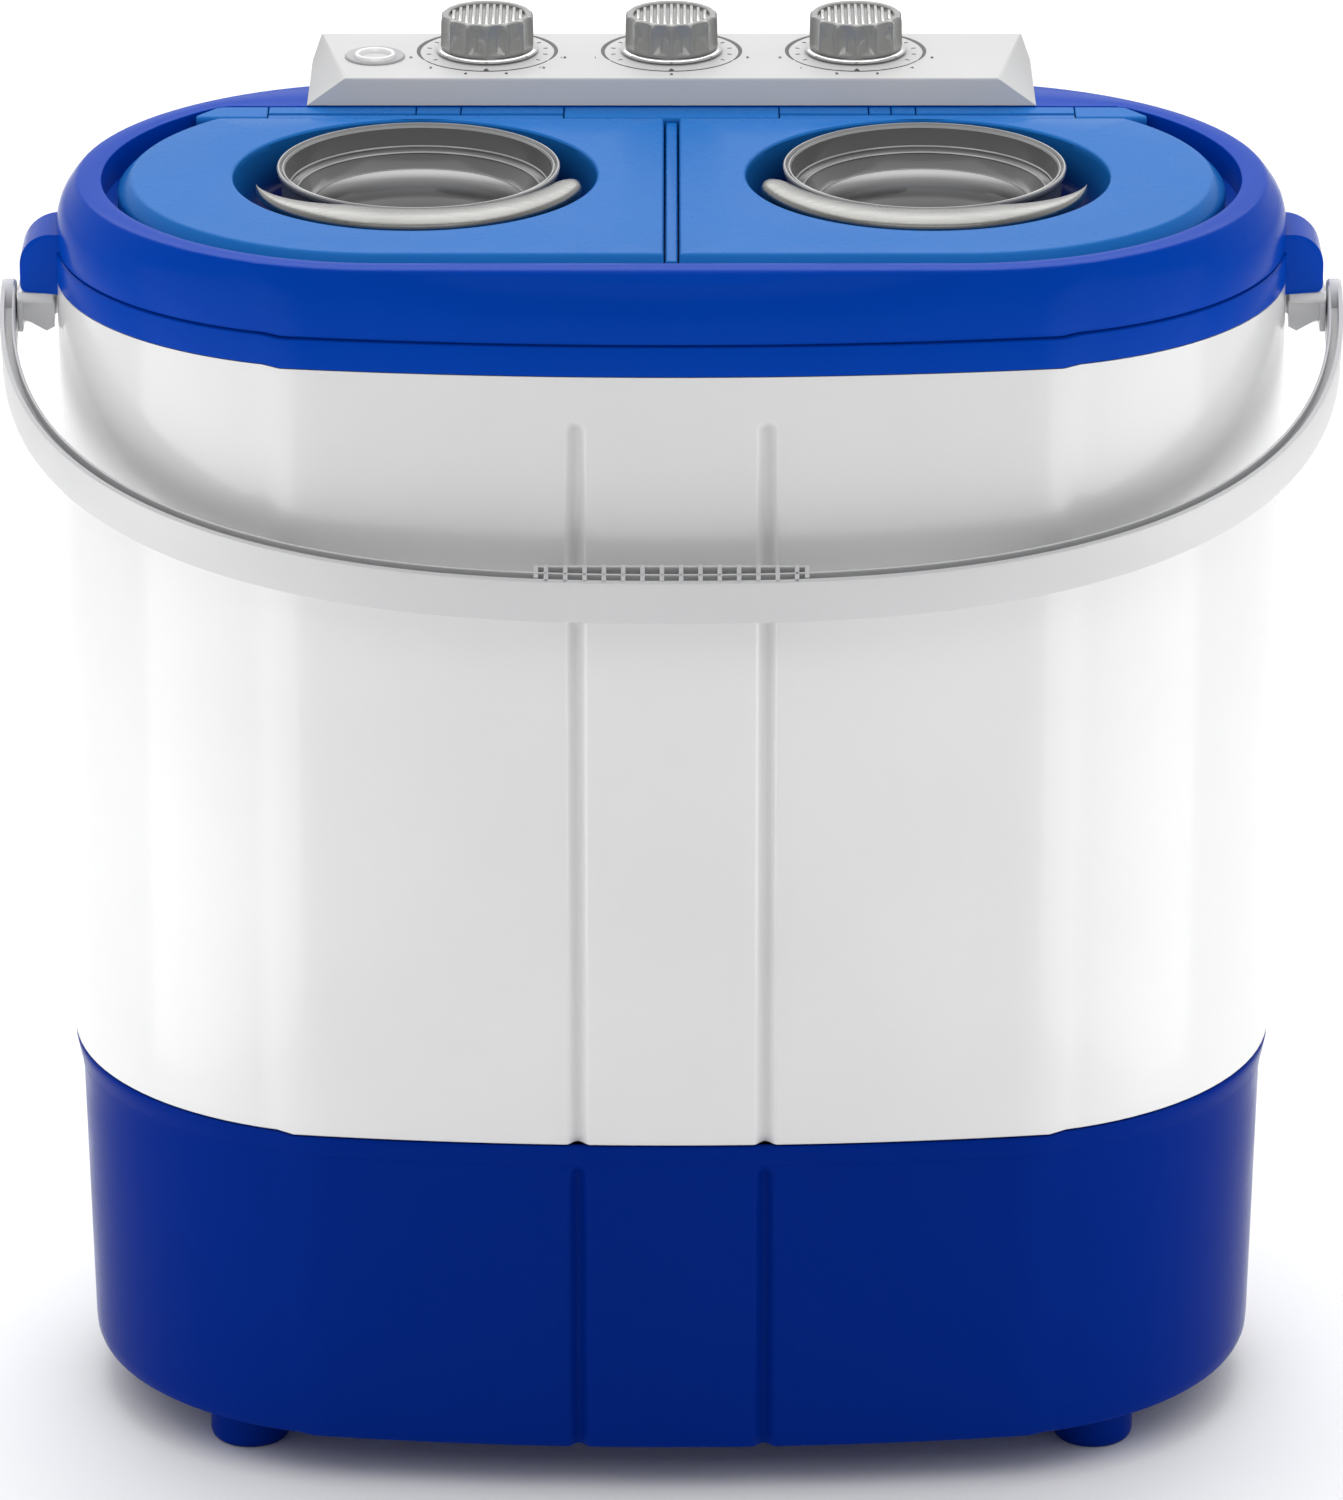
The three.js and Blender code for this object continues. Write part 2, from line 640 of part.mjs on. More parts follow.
function makeBailBracket(side) {
  const faces = [side * BRACKET_INNER_X, side * BRACKET_OUTER_X].sort((a, b) => a - b);
  const low = BAIL_PIVOT_Z - 11;
  const block = box([faces[0], -BRACKET_HALF, low], [faces[1], BRACKET_HALF, EAR_BOTTOM - GAP]);
  const hole = bar(0, PIVOT_RADIUS + 0.4, [0, BAIL_PIVOT_Z], faces[0] - 5, faces[1] + 5, 12);
  return block.subtract(prism(casing(-GAP), 490, 530)).subtract(hole);
}

// ---- Wash side ----------------------------------------------------------------------------

function tubProfile(hole) {
  const r = TUB_RADIUS;
  const top = DECK_Z - 4 - GAP;
  const inside = r - TUB_WALL;
  return [
    [hole, TUB_BOTTOM], [r - 15, TUB_BOTTOM], [r, TUB_BOTTOM + 15], [r, top - 3], [r + 3, top - 3],
    [r + 3, top], [inside, top], [inside, TUB_BOTTOM + 16], [r - 16, TUB_BOTTOM + 3.5],
    [hole, TUB_BOTTOM + 3.5],
  ];
}

function makeWashTub() {
  const drain = rod(9, DRAIN_X, DRAIN_Y, TUB_BOTTOM - 5, TUB_BOTTOM + 10, 16);
  return turned(tubProfile(7), -TUB_X, 0, 28).subtract(drain);
}

function makePulsator() {
  const profile = [
    [0, 224], [9, 223], [15, 215], [60, 211], [68, 208], [68, 205.5],
    [WASH_SHAFT_RADIUS + SHAFT_GAP, 205.5], [WASH_SHAFT_RADIUS + SHAFT_GAP, 217], [0, 217],
  ];
  let pulsator = turned(profile, 0, 0, 24);
  for (let i = 0; i < 3; i++) {
    const vane = box([10, -4, 209], [60, 4, 221]).rotate([0, 0, 120 * i]);
    pulsator = pulsator.add(vane);
  }
  return pulsator.translate([-TUB_X, 0, 0]);
}

function makeShaftBearing() {
  const top = TUB_BOTTOM - GAP;
  const bore = WASH_SHAFT_RADIUS + SHAFT_GAP;
  const profile = [[bore, 155], [18, 155], [18, 185], [32, 192], [32, top], [bore, top]];
  return turned(profile, -TUB_X, 0, 24);
}

function makeDrivenPulley() {
  const bore = WASH_SHAFT_RADIUS + SHAFT_GAP;
  const waist = (PULLEY_LOW + PULLEY_HIGH) / 2;
  const profile = [
    [bore, PULLEY_LOW], [50, PULLEY_LOW], [46, waist], [50, PULLEY_HIGH], [bore, PULLEY_HIGH],
  ];
  return turned(profile, -TUB_X, 0, 28);
}

function makeMotorPulley() {
  const waist = (PULLEY_LOW + PULLEY_HIGH) / 2;
  const top = WASH_MOTOR_LOW - GAP;
  const profile = [
    [0, PULLEY_LOW - 2], [14, PULLEY_LOW], [10, waist], [14, PULLEY_HIGH], [5, PULLEY_HIGH],
    [5, top], [0, top],
  ];
  return turned(profile, WASH_MOTOR_X, 0, 24);
}

// Loop round the two pulleys at the given radii.
function beltLoop(drivenRadius, motorRadius) {
  const distance = WASH_MOTOR_X + TUB_X;
  const lean = Math.acos((drivenRadius - motorRadius) / distance);
  const shape = new THREE.Shape();
  shape.absarc(-TUB_X, 0, drivenRadius, lean, 2 * Math.PI - lean, false);
  shape.absarc(WASH_MOTOR_X, 0, motorRadius, -lean, lean, false);
  return openLoop(shape, 12);
}

function makeDriveBelt() {
  const outer = beltLoop(DRIVEN_BELT_RADIUS + BELT_THICKNESS, MOTOR_BELT_RADIUS + BELT_THICKNESS);
  const inner = beltLoop(DRIVEN_BELT_RADIUS, MOTOR_BELT_RADIUS);
  return prism(outer, BELT_Z, BELT_Z + BELT_WIDTH).subtract(prism(inner, BELT_Z - 5, BELT_Z + 15));
}

function makeWashMotor() {
  const profile = [
    [0, WASH_MOTOR_LOW], [14, WASH_MOTOR_LOW], [16, 146], [38, 148], [40, 152], [40, 190],
    [36, 196], [36, TUB_BOTTOM - GAP], [0, TUB_BOTTOM - GAP],
  ];
  return turned(profile, WASH_MOTOR_X, 0, 28);
}

function makeCapacitor() {
  const low = BASE_BOTTOM + BASE_FLOOR + GAP;
  return rod(CAPACITOR_RADIUS, CAPACITOR_X, CAPACITOR_Y, low, CAPACITOR_TOP, 20);
}

function makeLintFilter() {
  const frame = box([-27, -22, 330], [-17, 22, 430]);
  return frame.subtract(box([-24, -18, 340], [-10, 18, 435]));
}

function makeDrainGrille() {
  const low = TUB_BOTTOM + 3.5 + GAP;
  let grille = rod(12, DRAIN_X, DRAIN_Y, low, low + 2, 20);
  for (const y of [-6, 0, 6].map((offset) => DRAIN_Y + offset)) {
    grille = grille.subtract(box([DRAIN_X - 8, y - 1, low - 2], [DRAIN_X + 8, y + 1, low + 5]));
  }
  return grille;
}

function makeDrainValve() {
  const top = TUB_BOTTOM - GAP;
  const profile = [[7, 160], [12, 160], [17, 168], [17, top], [7, top]];
  return turned(profile, DRAIN_X, DRAIN_Y, 20);
}

// Waste hose held inside the base, from the valve down to the outlet.
function makeDrainHose() {
  const path = new THREE.CatmullRomCurve3([
    new THREE.Vector3(DRAIN_X, DRAIN_Y, 159.7),
    new THREE.Vector3(DRAIN_X, DRAIN_Y, 130),
    new THREE.Vector3(-70, 82, 100),
    new THREE.Vector3(-45, 98, 77),
    new THREE.Vector3(-15, 106, OUTLET_Z),
    new THREE.Vector3(0, 112, OUTLET_Z),
    new THREE.Vector3(0, OUTLET_Y - GAP, OUTLET_Z),
  ]);
  const section = new THREE.Shape();
  section.absarc(0, 0, 8, 0, 2 * Math.PI, false);
  const bore = new THREE.Path();
  bore.absarc(0, 0, 6, 0, 2 * Math.PI, true);
  section.holes.push(bore);
  const options = { extrudePath: path, steps: 14, curveSegments: 4, bevelEnabled: false };
  return solid(new THREE.ExtrudeGeometry(section, options));
}

function makeDrainOutlet() {
  const profile = [
    [6.5, 0], [OUTLET_RADIUS, 0], [OUTLET_RADIUS, 12.7], [13, 12.7], [13, 15.5],
    [OUTLET_RADIUS, 15.5], [8.5, 34], [6.5, 34],
  ];
  // Turned about Z, then laid along +Y through the back wall.
  return turned(profile, 0, 0, 20).rotate([-90, 0, 0]).translate([0, OUTLET_Y, OUTLET_Z]);
}

function makeCableGland() {
  const profile = [
    [3.5, 0], [GLAND_RADIUS, 0], [GLAND_RADIUS, 4.7], [10, 4.7], [10, 9], [6, 18], [3.5, 18],
  ];
  return turned(profile, 0, 0, 20).rotate([-90, 0, 0]).translate([GLAND_X, GLAND_Y, GLAND_Z]);
}

// ---- Spin side ----------------------------------------------------------------------------

function makeSpinSeal() {
  const profile = [
    [8.6, 192], [15.7, 192], [15.7, 203.8], [26, 203.8], [24, 208], [8.6, 213],
  ];
  return turned(profile, TUB_X, 0, 20);
}

function makeSpinBasket() {
  const bore = SPIN_SHAFT_RADIUS + SHAFT_GAP;
  const inside = BASKET_RADIUS - BASKET_WALL;
  const floor = BASKET_BOTTOM + BASKET_WALL;
  const profile = [
    [bore, 214.5], [22, 214.5], [22, BASKET_BOTTOM], [BASKET_RADIUS, BASKET_BOTTOM],
    [BASKET_RADIUS, BASKET_TOP], [80, BASKET_TOP], [80, BASKET_TOP - 3],
    [inside, BASKET_TOP - 3], [inside, floor], [26, floor], [20, 242], [bore, 242],
  ];
  return turned(profile, TUB_X, 0, 28);
}

function makeBrakeDrum() {
  const bore = SPIN_SHAFT_RADIUS + SHAFT_GAP;
  const profile = [[bore, 150], [40, 150], [40, 172], [36, 172], [36, 156], [18, 156], [bore, 172]];
  return turned(profile, TUB_X, 0, 24);
}

// Lever beside the brake drum, turning on a post in the base, with a pad facing the drum.
function makeBrakeLever() {
  const low = [BRAKE_X - 4, BRAKE_Y - 7, BRAKE_LEVER_LOW];
  const arm = box(low, [BRAKE_X + 3, 40, BRAKE_LEVER_HIGH]);
  const pad = box([162.6, -9, 154], [165, 9, 168]);
  return arm.add(pad);
}

function makeSpinMotor() {
  const profile = [
    [0, 58], [44, 62], [44, MOTOR_FLANGE_Z], [60, MOTOR_FLANGE_Z], [60, 76], [48, 76],
    [48, 128], [42, 136], [16, 138], [16, SPIN_MOTOR_TOP], [0, SPIN_MOTOR_TOP],
  ];
  return turned(profile, TUB_X, 0, 24);
}

function makeMotorMount(angle) {
  const x = TUB_X + MOUNT_CIRCLE * Math.cos(angle);
  const y = MOUNT_CIRCLE * Math.sin(angle);
  const low = BASE_BOTTOM + BASE_FLOOR + GAP;
  const top = MOTOR_FLANGE_Z - GAP;
  const profile = [[0, low], [9, low], [7, 50], [8, top], [0, top]];
  return turned(profile, x, y, 12);
}

function makeInnerLid() {
  const low = INNER_LID_Z;
  const profile = [[0, low], [78, low], [78, low + 4], [12, low + 3], [9, low + 14], [0, low + 15]];
  return turned(profile, TUB_X, 0, 28);
}

// ---- Controls -----------------------------------------------------------------------------

function makeKnob(x) {
  const low = PANEL_TOP_Z + 0.8;
  const grip = Array.from({ length: 2 * KNOB_FLUTES }, (_, i) => {
    const radius = KNOB_RADIUS - (i % 2 ? 1.6 : 0);
    const angle = (Math.PI * i) / KNOB_FLUTES;
    return new THREE.Vector2(radius * Math.cos(angle), radius * Math.sin(angle));
  });
  const scaled = (factor) => grip.map((point) => point.clone().multiplyScalar(factor));
  const knob = loft([
    { points: scaled(KNOB_SKIRT_RADIUS / KNOB_RADIUS), z: low },
    { points: scaled(KNOB_SKIRT_RADIUS / KNOB_RADIUS), z: low + 1.5 },
    { points: scaled(1), z: low + 3 },
    { points: scaled(0.98), z: KNOB_TOP_Z - 1.5 },
    { points: scaled(0.9), z: KNOB_TOP_Z },
  ]);
  const bore = rod(KNOB_SHAFT_RADIUS + SHAFT_GAP, 0, 0, low - 5, KNOB_SHAFT_TOP + SHAFT_GAP, 12);
  return knob.subtract(bore).translate([x, KNOB_Y, 0]);
}

function makeKnobShaft(x) {
  return rod(KNOB_SHAFT_RADIUS, x, KNOB_Y, TIMER_NECK_TOP, KNOB_SHAFT_TOP, 12);
}

function makeTimer(x, halfWidth) {
  const low = DECK_Z + GAP;
  const body = box([x - halfWidth, TIMER_FRONT_Y, low], [x + halfWidth, TIMER_BACK_Y, TIMER_TOP]);
  return body.add(rod(9, x, KNOB_Y, TIMER_TOP - 6, TIMER_NECK_TOP - GAP, 16));
}

// ---- Assembly -----------------------------------------------------------------------------

const washer = new THREE.Group();

function place(parent, name, shape, finish) {
  const mesh = new THREE.Mesh(geometryOf(shape), material(finish));
  mesh.name = name;
  parent.add(mesh);
  return mesh;
}

const sides = [[-1, 'left'], [1, 'right']];

place(washer, 'base_housing', makeBaseHousing(), 'blue');
place(washer, 'bottom_plate', makeBottomPlate(), 'greyPlastic');
for (const [side, name] of sides) {
  place(washer, `foot_front_${name}`, makeFoot(side * FOOT_X, -FOOT_Y), 'blue');
  place(washer, `foot_rear_${name}`, makeFoot(side * FOOT_X, FOOT_Y), 'blue');
  place(washer, `bail_bracket_${name}`, makeBailBracket(side), 'white');
  place(washer, `rear_cover_screw_${name}`, makeCoverScrew(side * COVER_SCREW_X), 'steel');
}
place(washer, 'body_shell', makeBodyShell(), 'white');
place(washer, 'top_collar', makeTopCollar(), 'blue');
place(washer, 'hinge_strip', makeHingeStrip(), 'blue');
place(washer, 'rear_cover', makeRearCover(), 'white');
place(washer, 'control_panel', makeControlPanel(), 'white');
place(washer, 'water_inlet_port', makeInletPort(), 'greyPlastic');

for (const [side, name] of [[-1, 'wash'], [1, 'spin']]) {
  const lid = new THREE.Group();
  place(lid, `${name}_lid`, makeLid(side), 'blue');
  place(lid, `${name}_lid_window`, makeWindow(side), 'smoke');
  place(lid, `${name}_lid_grip`, makeGrip(side), 'satin');
  washer.add(lid);
  place(washer, `${name}_lid_pin`, makeLidPin(side), 'steel');
}

const bail = new THREE.Group();
bail.position.set(0, 0, BAIL_PIVOT_Z);
bail.rotation.set(Math.PI + BAIL_REST_ANGLE, 0, 0);
place(bail, 'bail_handle', makeBail(), 'white');
washer.add(bail);

place(washer, 'wash_tub', makeWashTub(), 'tubWhite');
place(washer, 'pulsator', makePulsator(), 'white');
place(washer, 'pulsator_shaft', rod(WASH_SHAFT_RADIUS, -TUB_X, 0, 118, 216.7), 'steel');
place(washer, 'shaft_bearing', makeShaftBearing(), 'darkPlastic');
place(washer, 'driven_pulley', makeDrivenPulley(), 'greyPlastic');
place(washer, 'motor_pulley', makeMotorPulley(), 'steel');
place(washer, 'drive_belt', makeDriveBelt(), 'rubber');
place(washer, 'wash_motor', makeWashMotor(), 'steel');
place(washer, 'motor_capacitor', makeCapacitor(), 'darkPlastic');
place(washer, 'lint_filter', makeLintFilter(), 'greyPlastic');
place(washer, 'drain_grille', makeDrainGrille(), 'greyPlastic');
place(washer, 'drain_valve', makeDrainValve(), 'darkPlastic');
place(washer, 'drain_hose', makeDrainHose(), 'rubber');
place(washer, 'drain_outlet', makeDrainOutlet(), 'greyPlastic');
place(washer, 'cable_gland', makeCableGland(), 'rubber');

place(washer, 'spin_outer_tub', turned(tubProfile(16), TUB_X, 0, 28), 'tubWhite');
place(washer, 'spin_seal', makeSpinSeal(), 'rubber');
place(washer, 'spin_basket', makeSpinBasket(), 'white');
place(washer, 'spin_shaft', rod(SPIN_SHAFT_RADIUS, TUB_X, 0, SPIN_MOTOR_TOP + GAP, 240), 'steel');
place(washer, 'brake_drum', makeBrakeDrum(), 'steel');
place(washer, 'brake_lever', makeBrakeLever(), 'steel');
place(washer, 'spin_motor', makeSpinMotor(), 'steel');
for (let i = 0; i < 3; i++) {
  const angle = Math.PI / 2 + (2 * Math.PI * i) / 3;
  place(washer, `spin_motor_mount_${i + 1}`, makeMotorMount(angle), 'rubber');
}
place(washer, 'spin_inner_lid', makeInnerLid(), 'greyPlastic');

const controls = [['wash_timer', -KNOB_X, 20], ['selector', 0, 16], ['spin_timer', KNOB_X, 20]];
for (const [name, x, halfWidth] of controls) {
  place(washer, name === 'selector' ? 'selector_switch' : name, makeTimer(x, halfWidth), 'darkPlastic');
  place(washer, `${name}_shaft`, makeKnobShaft(x), 'steel');
  place(washer, `${name}_knob`, makeKnob(x), 'chrome');
}

export default washer;
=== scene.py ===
"""Portable twin tub washer: the visual model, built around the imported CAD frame.

Shapes are drawn in millimetres and turned into metres when a mesh is made.
A shape is a pair (points, faces); a piece is an object that rides on a CAD body.
"""

import json
from math import asin, cos, pi, radians, sin, sqrt

import bmesh
import bpy
from mathutils import Matrix, Vector

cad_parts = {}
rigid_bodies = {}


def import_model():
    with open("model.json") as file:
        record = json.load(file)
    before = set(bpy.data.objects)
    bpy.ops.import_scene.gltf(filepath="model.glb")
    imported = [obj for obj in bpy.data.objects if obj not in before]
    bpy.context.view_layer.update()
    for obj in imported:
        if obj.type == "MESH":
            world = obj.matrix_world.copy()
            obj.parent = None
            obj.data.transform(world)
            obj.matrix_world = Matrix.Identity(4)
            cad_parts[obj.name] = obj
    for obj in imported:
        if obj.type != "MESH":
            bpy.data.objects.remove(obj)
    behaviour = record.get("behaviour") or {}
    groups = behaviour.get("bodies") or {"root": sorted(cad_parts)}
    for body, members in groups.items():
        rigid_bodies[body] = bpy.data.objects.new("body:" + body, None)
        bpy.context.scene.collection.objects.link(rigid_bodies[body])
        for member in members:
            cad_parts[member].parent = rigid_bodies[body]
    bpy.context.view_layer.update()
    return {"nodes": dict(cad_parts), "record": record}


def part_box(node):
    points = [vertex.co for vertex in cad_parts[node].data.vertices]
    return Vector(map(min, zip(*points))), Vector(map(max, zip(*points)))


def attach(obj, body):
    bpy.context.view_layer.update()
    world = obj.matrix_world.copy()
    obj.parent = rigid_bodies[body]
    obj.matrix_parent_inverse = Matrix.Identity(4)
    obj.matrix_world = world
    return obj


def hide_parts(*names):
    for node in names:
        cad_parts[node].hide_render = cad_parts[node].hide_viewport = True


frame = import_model()
scene = bpy.context.scene

MM = 0.001


# ---- Sizes from the frame, in millimetres ----


def corners(node):
    low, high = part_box(node)
    return low / MM, high / MM


def middle(node):
    low, high = corners(node)
    return [(a + b) / 2 for a, b in zip(low, high)]


BODY_LOW, BODY_HIGH = corners("body_shell")
PANEL_LOW, PANEL_HIGH = corners("control_panel")
COLLAR_HIGH = corners("top_collar")[1]
STRIP_HIGH = corners("hinge_strip")[1]
BAIL_HIGH = corners("bail_handle")[1]
GAP = 0.3
SHARP = 32.0
SIDES = ((-1, "left"), (1, "right"))
LIDS = ((-1, "wash"), (1, "spin"))

# Casing in plan: half-round ends, flatter at the front, corner facets and a bowed front.
END_RADIUS = BODY_HIGH.y + 0.5
END_CENTRE = BODY_HIGH.x + 0.5 - END_RADIUS
FRONT_RADIUS = END_RADIUS - 4.0
CORNER_OUT = 174.5
CORNER_IN = 167.0
CORNER_Y = 135.4
FRONT_BOW = 12.0

# Two grooves down the front.
FLUTE_X = 41.0
FLUTE_HALF = 5.4
FLUTE_DEPTH = 4.0
FLUTE_TOP = 503.0

# Heights.
FLOOR_Z = corners("base_housing")[0].z
SEAM_Z = BODY_LOW.z - GAP / 2
COLLAR_Z = BODY_HIGH.z + GAP / 2
TOP_Z = COLLAR_HIGH.z
DECK_Z = TOP_Z - 14.0
BAND_Z = COLLAR_Z + 13.5

# Top deck and lids.
DECK_CENTRE = 124.0
RIM_RADIUS = 136.0
POCKET_RADIUS = 125.0
PANEL_FRONT_Y = PANEL_LOW.y
LID_RADIUS = 118.0
LID_TOP_RADIUS = 112.0
LID_SPLIT = 3.0
LID_REAR_Y = 82.0
HINGE_Y = 85.0
HINGE_Z = 569.0
RECESS_X = 112.0
RECESS_RADIUS = 79.5
BOWL_RADIUS = 64.5
BOWL_Z = 552.0
WINDOW_X = 111.0
WINDOW_Y = 16.0

# Lid grip: angles in degrees, radii about recess and window, pointed and blunt ends as shares.
GRIP_START = 194.0
GRIP_SWEEP = 156.5
GRIP_REACH = 76.0
GRIP_CLEAR = 69.0
GRIP_Z = 570.4
GRIP_HALF_HEIGHT = 4.4
GRIP_POINT = 0.3
GRIP_BLUNT = 0.055

# Bail handle.
BAIL_PIVOT_Z = 511.0
BAIL_ANGLE = radians(24.3)
BAIL_HALF_SPAN = BAIL_HIGH.x
BAIL_REACH = 186.5
BAIL_HALF_WIDTH = 12.0
BAIL_DEPTH = 6.6
BAIL_EXPONENT = 2.5
BRACKET_IN = 270.4
BRACKET_OUT = 286.6
FINS = 14
FIN_PITCH = 8.2

# Tubs and basket.
TUB_X = 120.0
TUB_RADIUS = 115.0
TUB_LOW = 200.0
MOUTH_RADIUS = 100.0
BASKET_RADIUS = 95.0
BASKET_WALL = 2.5

# Controls.
KNOB_X = 83.0
KNOB_Y = 140.0
KNOB_TOP_Z = 603.0
KNOB_FLUTES = 14
DIAL_RADIUS = 31.0
FIGURE_RADIUS = 35.6
INK_HEIGHT = 0.18

# Camera, solved from the photo, in metres and radians.
CAMERA_PLACE = (0.0, -3.7546, 1.7664)
CAMERA_PITCH = 0.372

# Back: service opening of the base, waste outlet, cord gland and vents of the rear cover.
SERVICE_X = 50.0
SERVICE_Y = 75.0
OUTLET_Z = 70.0
GLAND_X = 90.0
GLAND_Z = 60.0
VENT_X = 58.0
VENT_Z = 300.0
VENT_PITCH = 18.0
VENT_HALF = 42.0


# ---- Outlines ----


def spread(low, high, count):
    """Evenly spaced values from low to high, both ends included."""
    return [low + (high - low) * i / (count - 1) for i in range(count)]


def flute_depth(x, z):
    """Depth of the front grooves at a point: cosine section and a rounded upper end."""
    across = abs(abs(x) - FLUTE_X)
    beyond = max(0.0, z - FLUTE_TOP)
    reach = sqrt(across**2 + beyond**2) / FLUTE_HALF
    return FLUTE_DEPTH * (1 + cos(pi * min(1.0, reach))) / 2


def front_stations():
    flute = [FLUTE_X + FLUTE_HALF * k / 7 for k in range(-7, 8)]
    half = [10.0, 20.0, 30.0] + flute + spread(54.0, 150.0, 9)
    return [-x for x in reversed(half)] + [0.0] + half


def outline(centre, end_x, back_y, front_y, corner_out, corner_in, front):
    """Closed plan outline with a fixed number of points, whatever its sizes."""
    points = [(x, back_y) for x in spread(centre, -centre, 25)]
    turn = pi - asin((corner_out - centre) / end_x)
    left = []
    for angle in spread(0.0, turn, 49)[1:]:
        reach = back_y if angle < pi / 2 else front_y
        left.append((-centre - end_x * sin(angle), reach * cos(angle)))
    points += left
    points.append((-corner_in, front(-corner_in)))
    points += [(x, front(x)) for x in front_stations()]
    points.append((corner_in, front(corner_in)))
    points += [(-x, y) for x, y in reversed(left)]
    return points


def casing(inset_x=0.0, inset_y=None, groove=None):
    """Casing outline; groove is the height whose front grooves it follows."""
    inset_y = inset_x if inset_y is None else inset_y
    corner_in = CORNER_IN - inset_x

    def front(x):
        bow = FRONT_BOW * (1 - min(1.0, abs(x) / corner_in) ** 2)
        depth = 0.0 if groove is None else flute_depth(x, groove)
        return -(CORNER_Y + bow - inset_y) + depth

    return outline(
        END_CENTRE, END_RADIUS - inset_x, END_RADIUS - inset_y, FRONT_RADIUS - inset_y,
        CORNER_OUT - inset_x, corner_in, front,
    )


def stadium(radius, rear=None):
    """Half-round ended outline about the deck's centres, cut off behind `rear`."""

    def front(x):
        return -sqrt(radius**2 - max(0.0, abs(x) - DECK_CENTRE) ** 2)

    points = outline(DECK_CENTRE, radius, radius, radius, CORNER_OUT - 4, CORNER_IN - 4, front)
    return points if rear is None else [(x, min(y, rear)) for x, y in points]


def mix(first, second, share):
    return [
        (a[0] + (b[0] - a[0]) * share, a[1] + (b[1] - a[1]) * share)
        for a, b in zip(first, second)
    ]


def circle(x, y, radius, count=64):
    angles = [2 * pi * i / count for i in range(count)]
    return [(x + radius * cos(a), y + radius * sin(a)) for a in angles]


def rounded(low, high, radius, steps=5):
    """Rectangle with round corners, anticlockwise."""
    centres = [
        (high[0] - radius, high[1] - radius, 0.0),
        (low[0] + radius, high[1] - radius, pi / 2),
        (low[0] + radius, low[1] + radius, pi),
        (high[0] - radius, low[1] + radius, 1.5 * pi),
    ]
    points = []
    for x, y, start in centres:
        for a in spread(start, start + pi / 2, steps):
            points.append((x + radius * cos(a), y + radius * sin(a)))
    return points


def inwards(points, inset):
    """Anticlockwise outline moved inwards, with mitred corners."""
    moved_points = []
    for i, point in enumerate(points):
        here = Vector(point)
        before = (here - Vector(points[i - 1])).normalized()
        after = (Vector(points[(i + 1) % len(points)]) - here).normalized()
        normal = Vector((-(before.y + after.y), before.x + after.x)).normalized()
        stretch = max(0.4, normal.dot(Vector((-before.y, before.x))))
        moved_points.append(tuple(here + normal * (inset / stretch)))
    return moved_points


# ---- Shapes ----


def loft(levels, ring=False):
    """Solid through loops of equal length; a ring closes from the last loop to the first."""
    count = len(levels[0])
    points = [point for level in levels for point in level]
    faces = []
    pairs = len(levels) if ring else len(levels) - 1
    for level in range(pairs):
        low = level * count
        high = ((level + 1) % len(levels)) * count
        for i in range(count):
            j = (i + 1) % count
            faces.append((low + i, low + j, high + j, high + i))
    if not ring:
        top = (len(levels) - 1) * count
        faces.append(tuple(reversed(range(count))))
        faces.append(tuple(range(top, top + count)))
    return points, faces


def at(points, z):
    return [(x, y, z) for x, y in points]


def slab(points, low, high, edge=0.6):
    """Anticlockwise outline raised from low to high, with rounded rims."""
    rim = [(edge * (1 - sin(angle)), edge * (1 - cos(angle))) for angle in spread(0.0, pi / 2, 4)]
    levels = [at(inwards(points, inset), low + rise) for inset, rise in rim]
    return loft(levels + [at(inwards(points, inset), high - rise) for inset, rise in reversed(rim)])


def block(low, high, edge=0.6):
    corner = max(edge, 0.05) * 1.2
    return slab(rounded(low[:2], high[:2], corner, 4), low[2], high[2], edge)


def turned(profile, x=0.0, y=0.0, count=72):
    """Solid of revolution about a vertical axis, from (radius, height) pairs."""
    on_axis = profile[0][0] == 0 or profile[-1][0] == 0
    rows = [(max(radius, 0.02), z) for radius, z in profile]
    return loft([at(circle(x, y, radius, count), z) for radius, z in rows], ring=not on_axis)


def combined(*shapes):
    points, faces = [], []
    for shape_points, shape_faces in shapes:
        start = len(points)
        points += shape_points
        faces += [tuple(start + i for i in face) for face in shape_faces]
    return points, faces


def placed(shape, matrix):
    return [tuple(matrix @ Vector(point)) for point in shape[0]], shape[1]


def shifted(shape, x):
    return placed(shape, Matrix.Translation((x, 0, 0)))


def lying_along_y(shape, x, y, z):
    """Shape drawn about +Z, laid down with its top towards +Y."""
    return placed(shape, Matrix.Translation((x, y, z)) @ Matrix.Rotation(-pi / 2, 4, "X"))


def lying_along_x(shape, x, y, z, side=1):
    """Shape drawn about +Z, laid down with its top towards +X or -X."""
    return placed(shape, Matrix.Translation((x, y, z)) @ Matrix.Rotation(side * pi / 2, 4, "Y"))


# ---- Materials ----


def shader(name):
    material = bpy.data.materials.new(name)
    material.use_nodes = True
    nodes = material.node_tree.nodes
    return material, nodes, material.node_tree.links, nodes["Principled BSDF"]


def set_inputs(node, values):
    for name, value in values.items():
        node.inputs[name].default_value = value
    return node


def new_node(nodes, kind, values):
    return set_inputs(nodes.new("ShaderNode" + kind), values)


def noise(nodes, links, scale, detail=4.0, coordinates=None):
    texture = new_node(nodes, "TexNoise", {"Scale": scale, "Detail": detail})
    if coordinates is None:
        coordinates = nodes.new("ShaderNodeTexCoord").outputs["Object"]
    links.new(coordinates, texture.inputs["Vector"])
    return texture.outputs["Fac"]


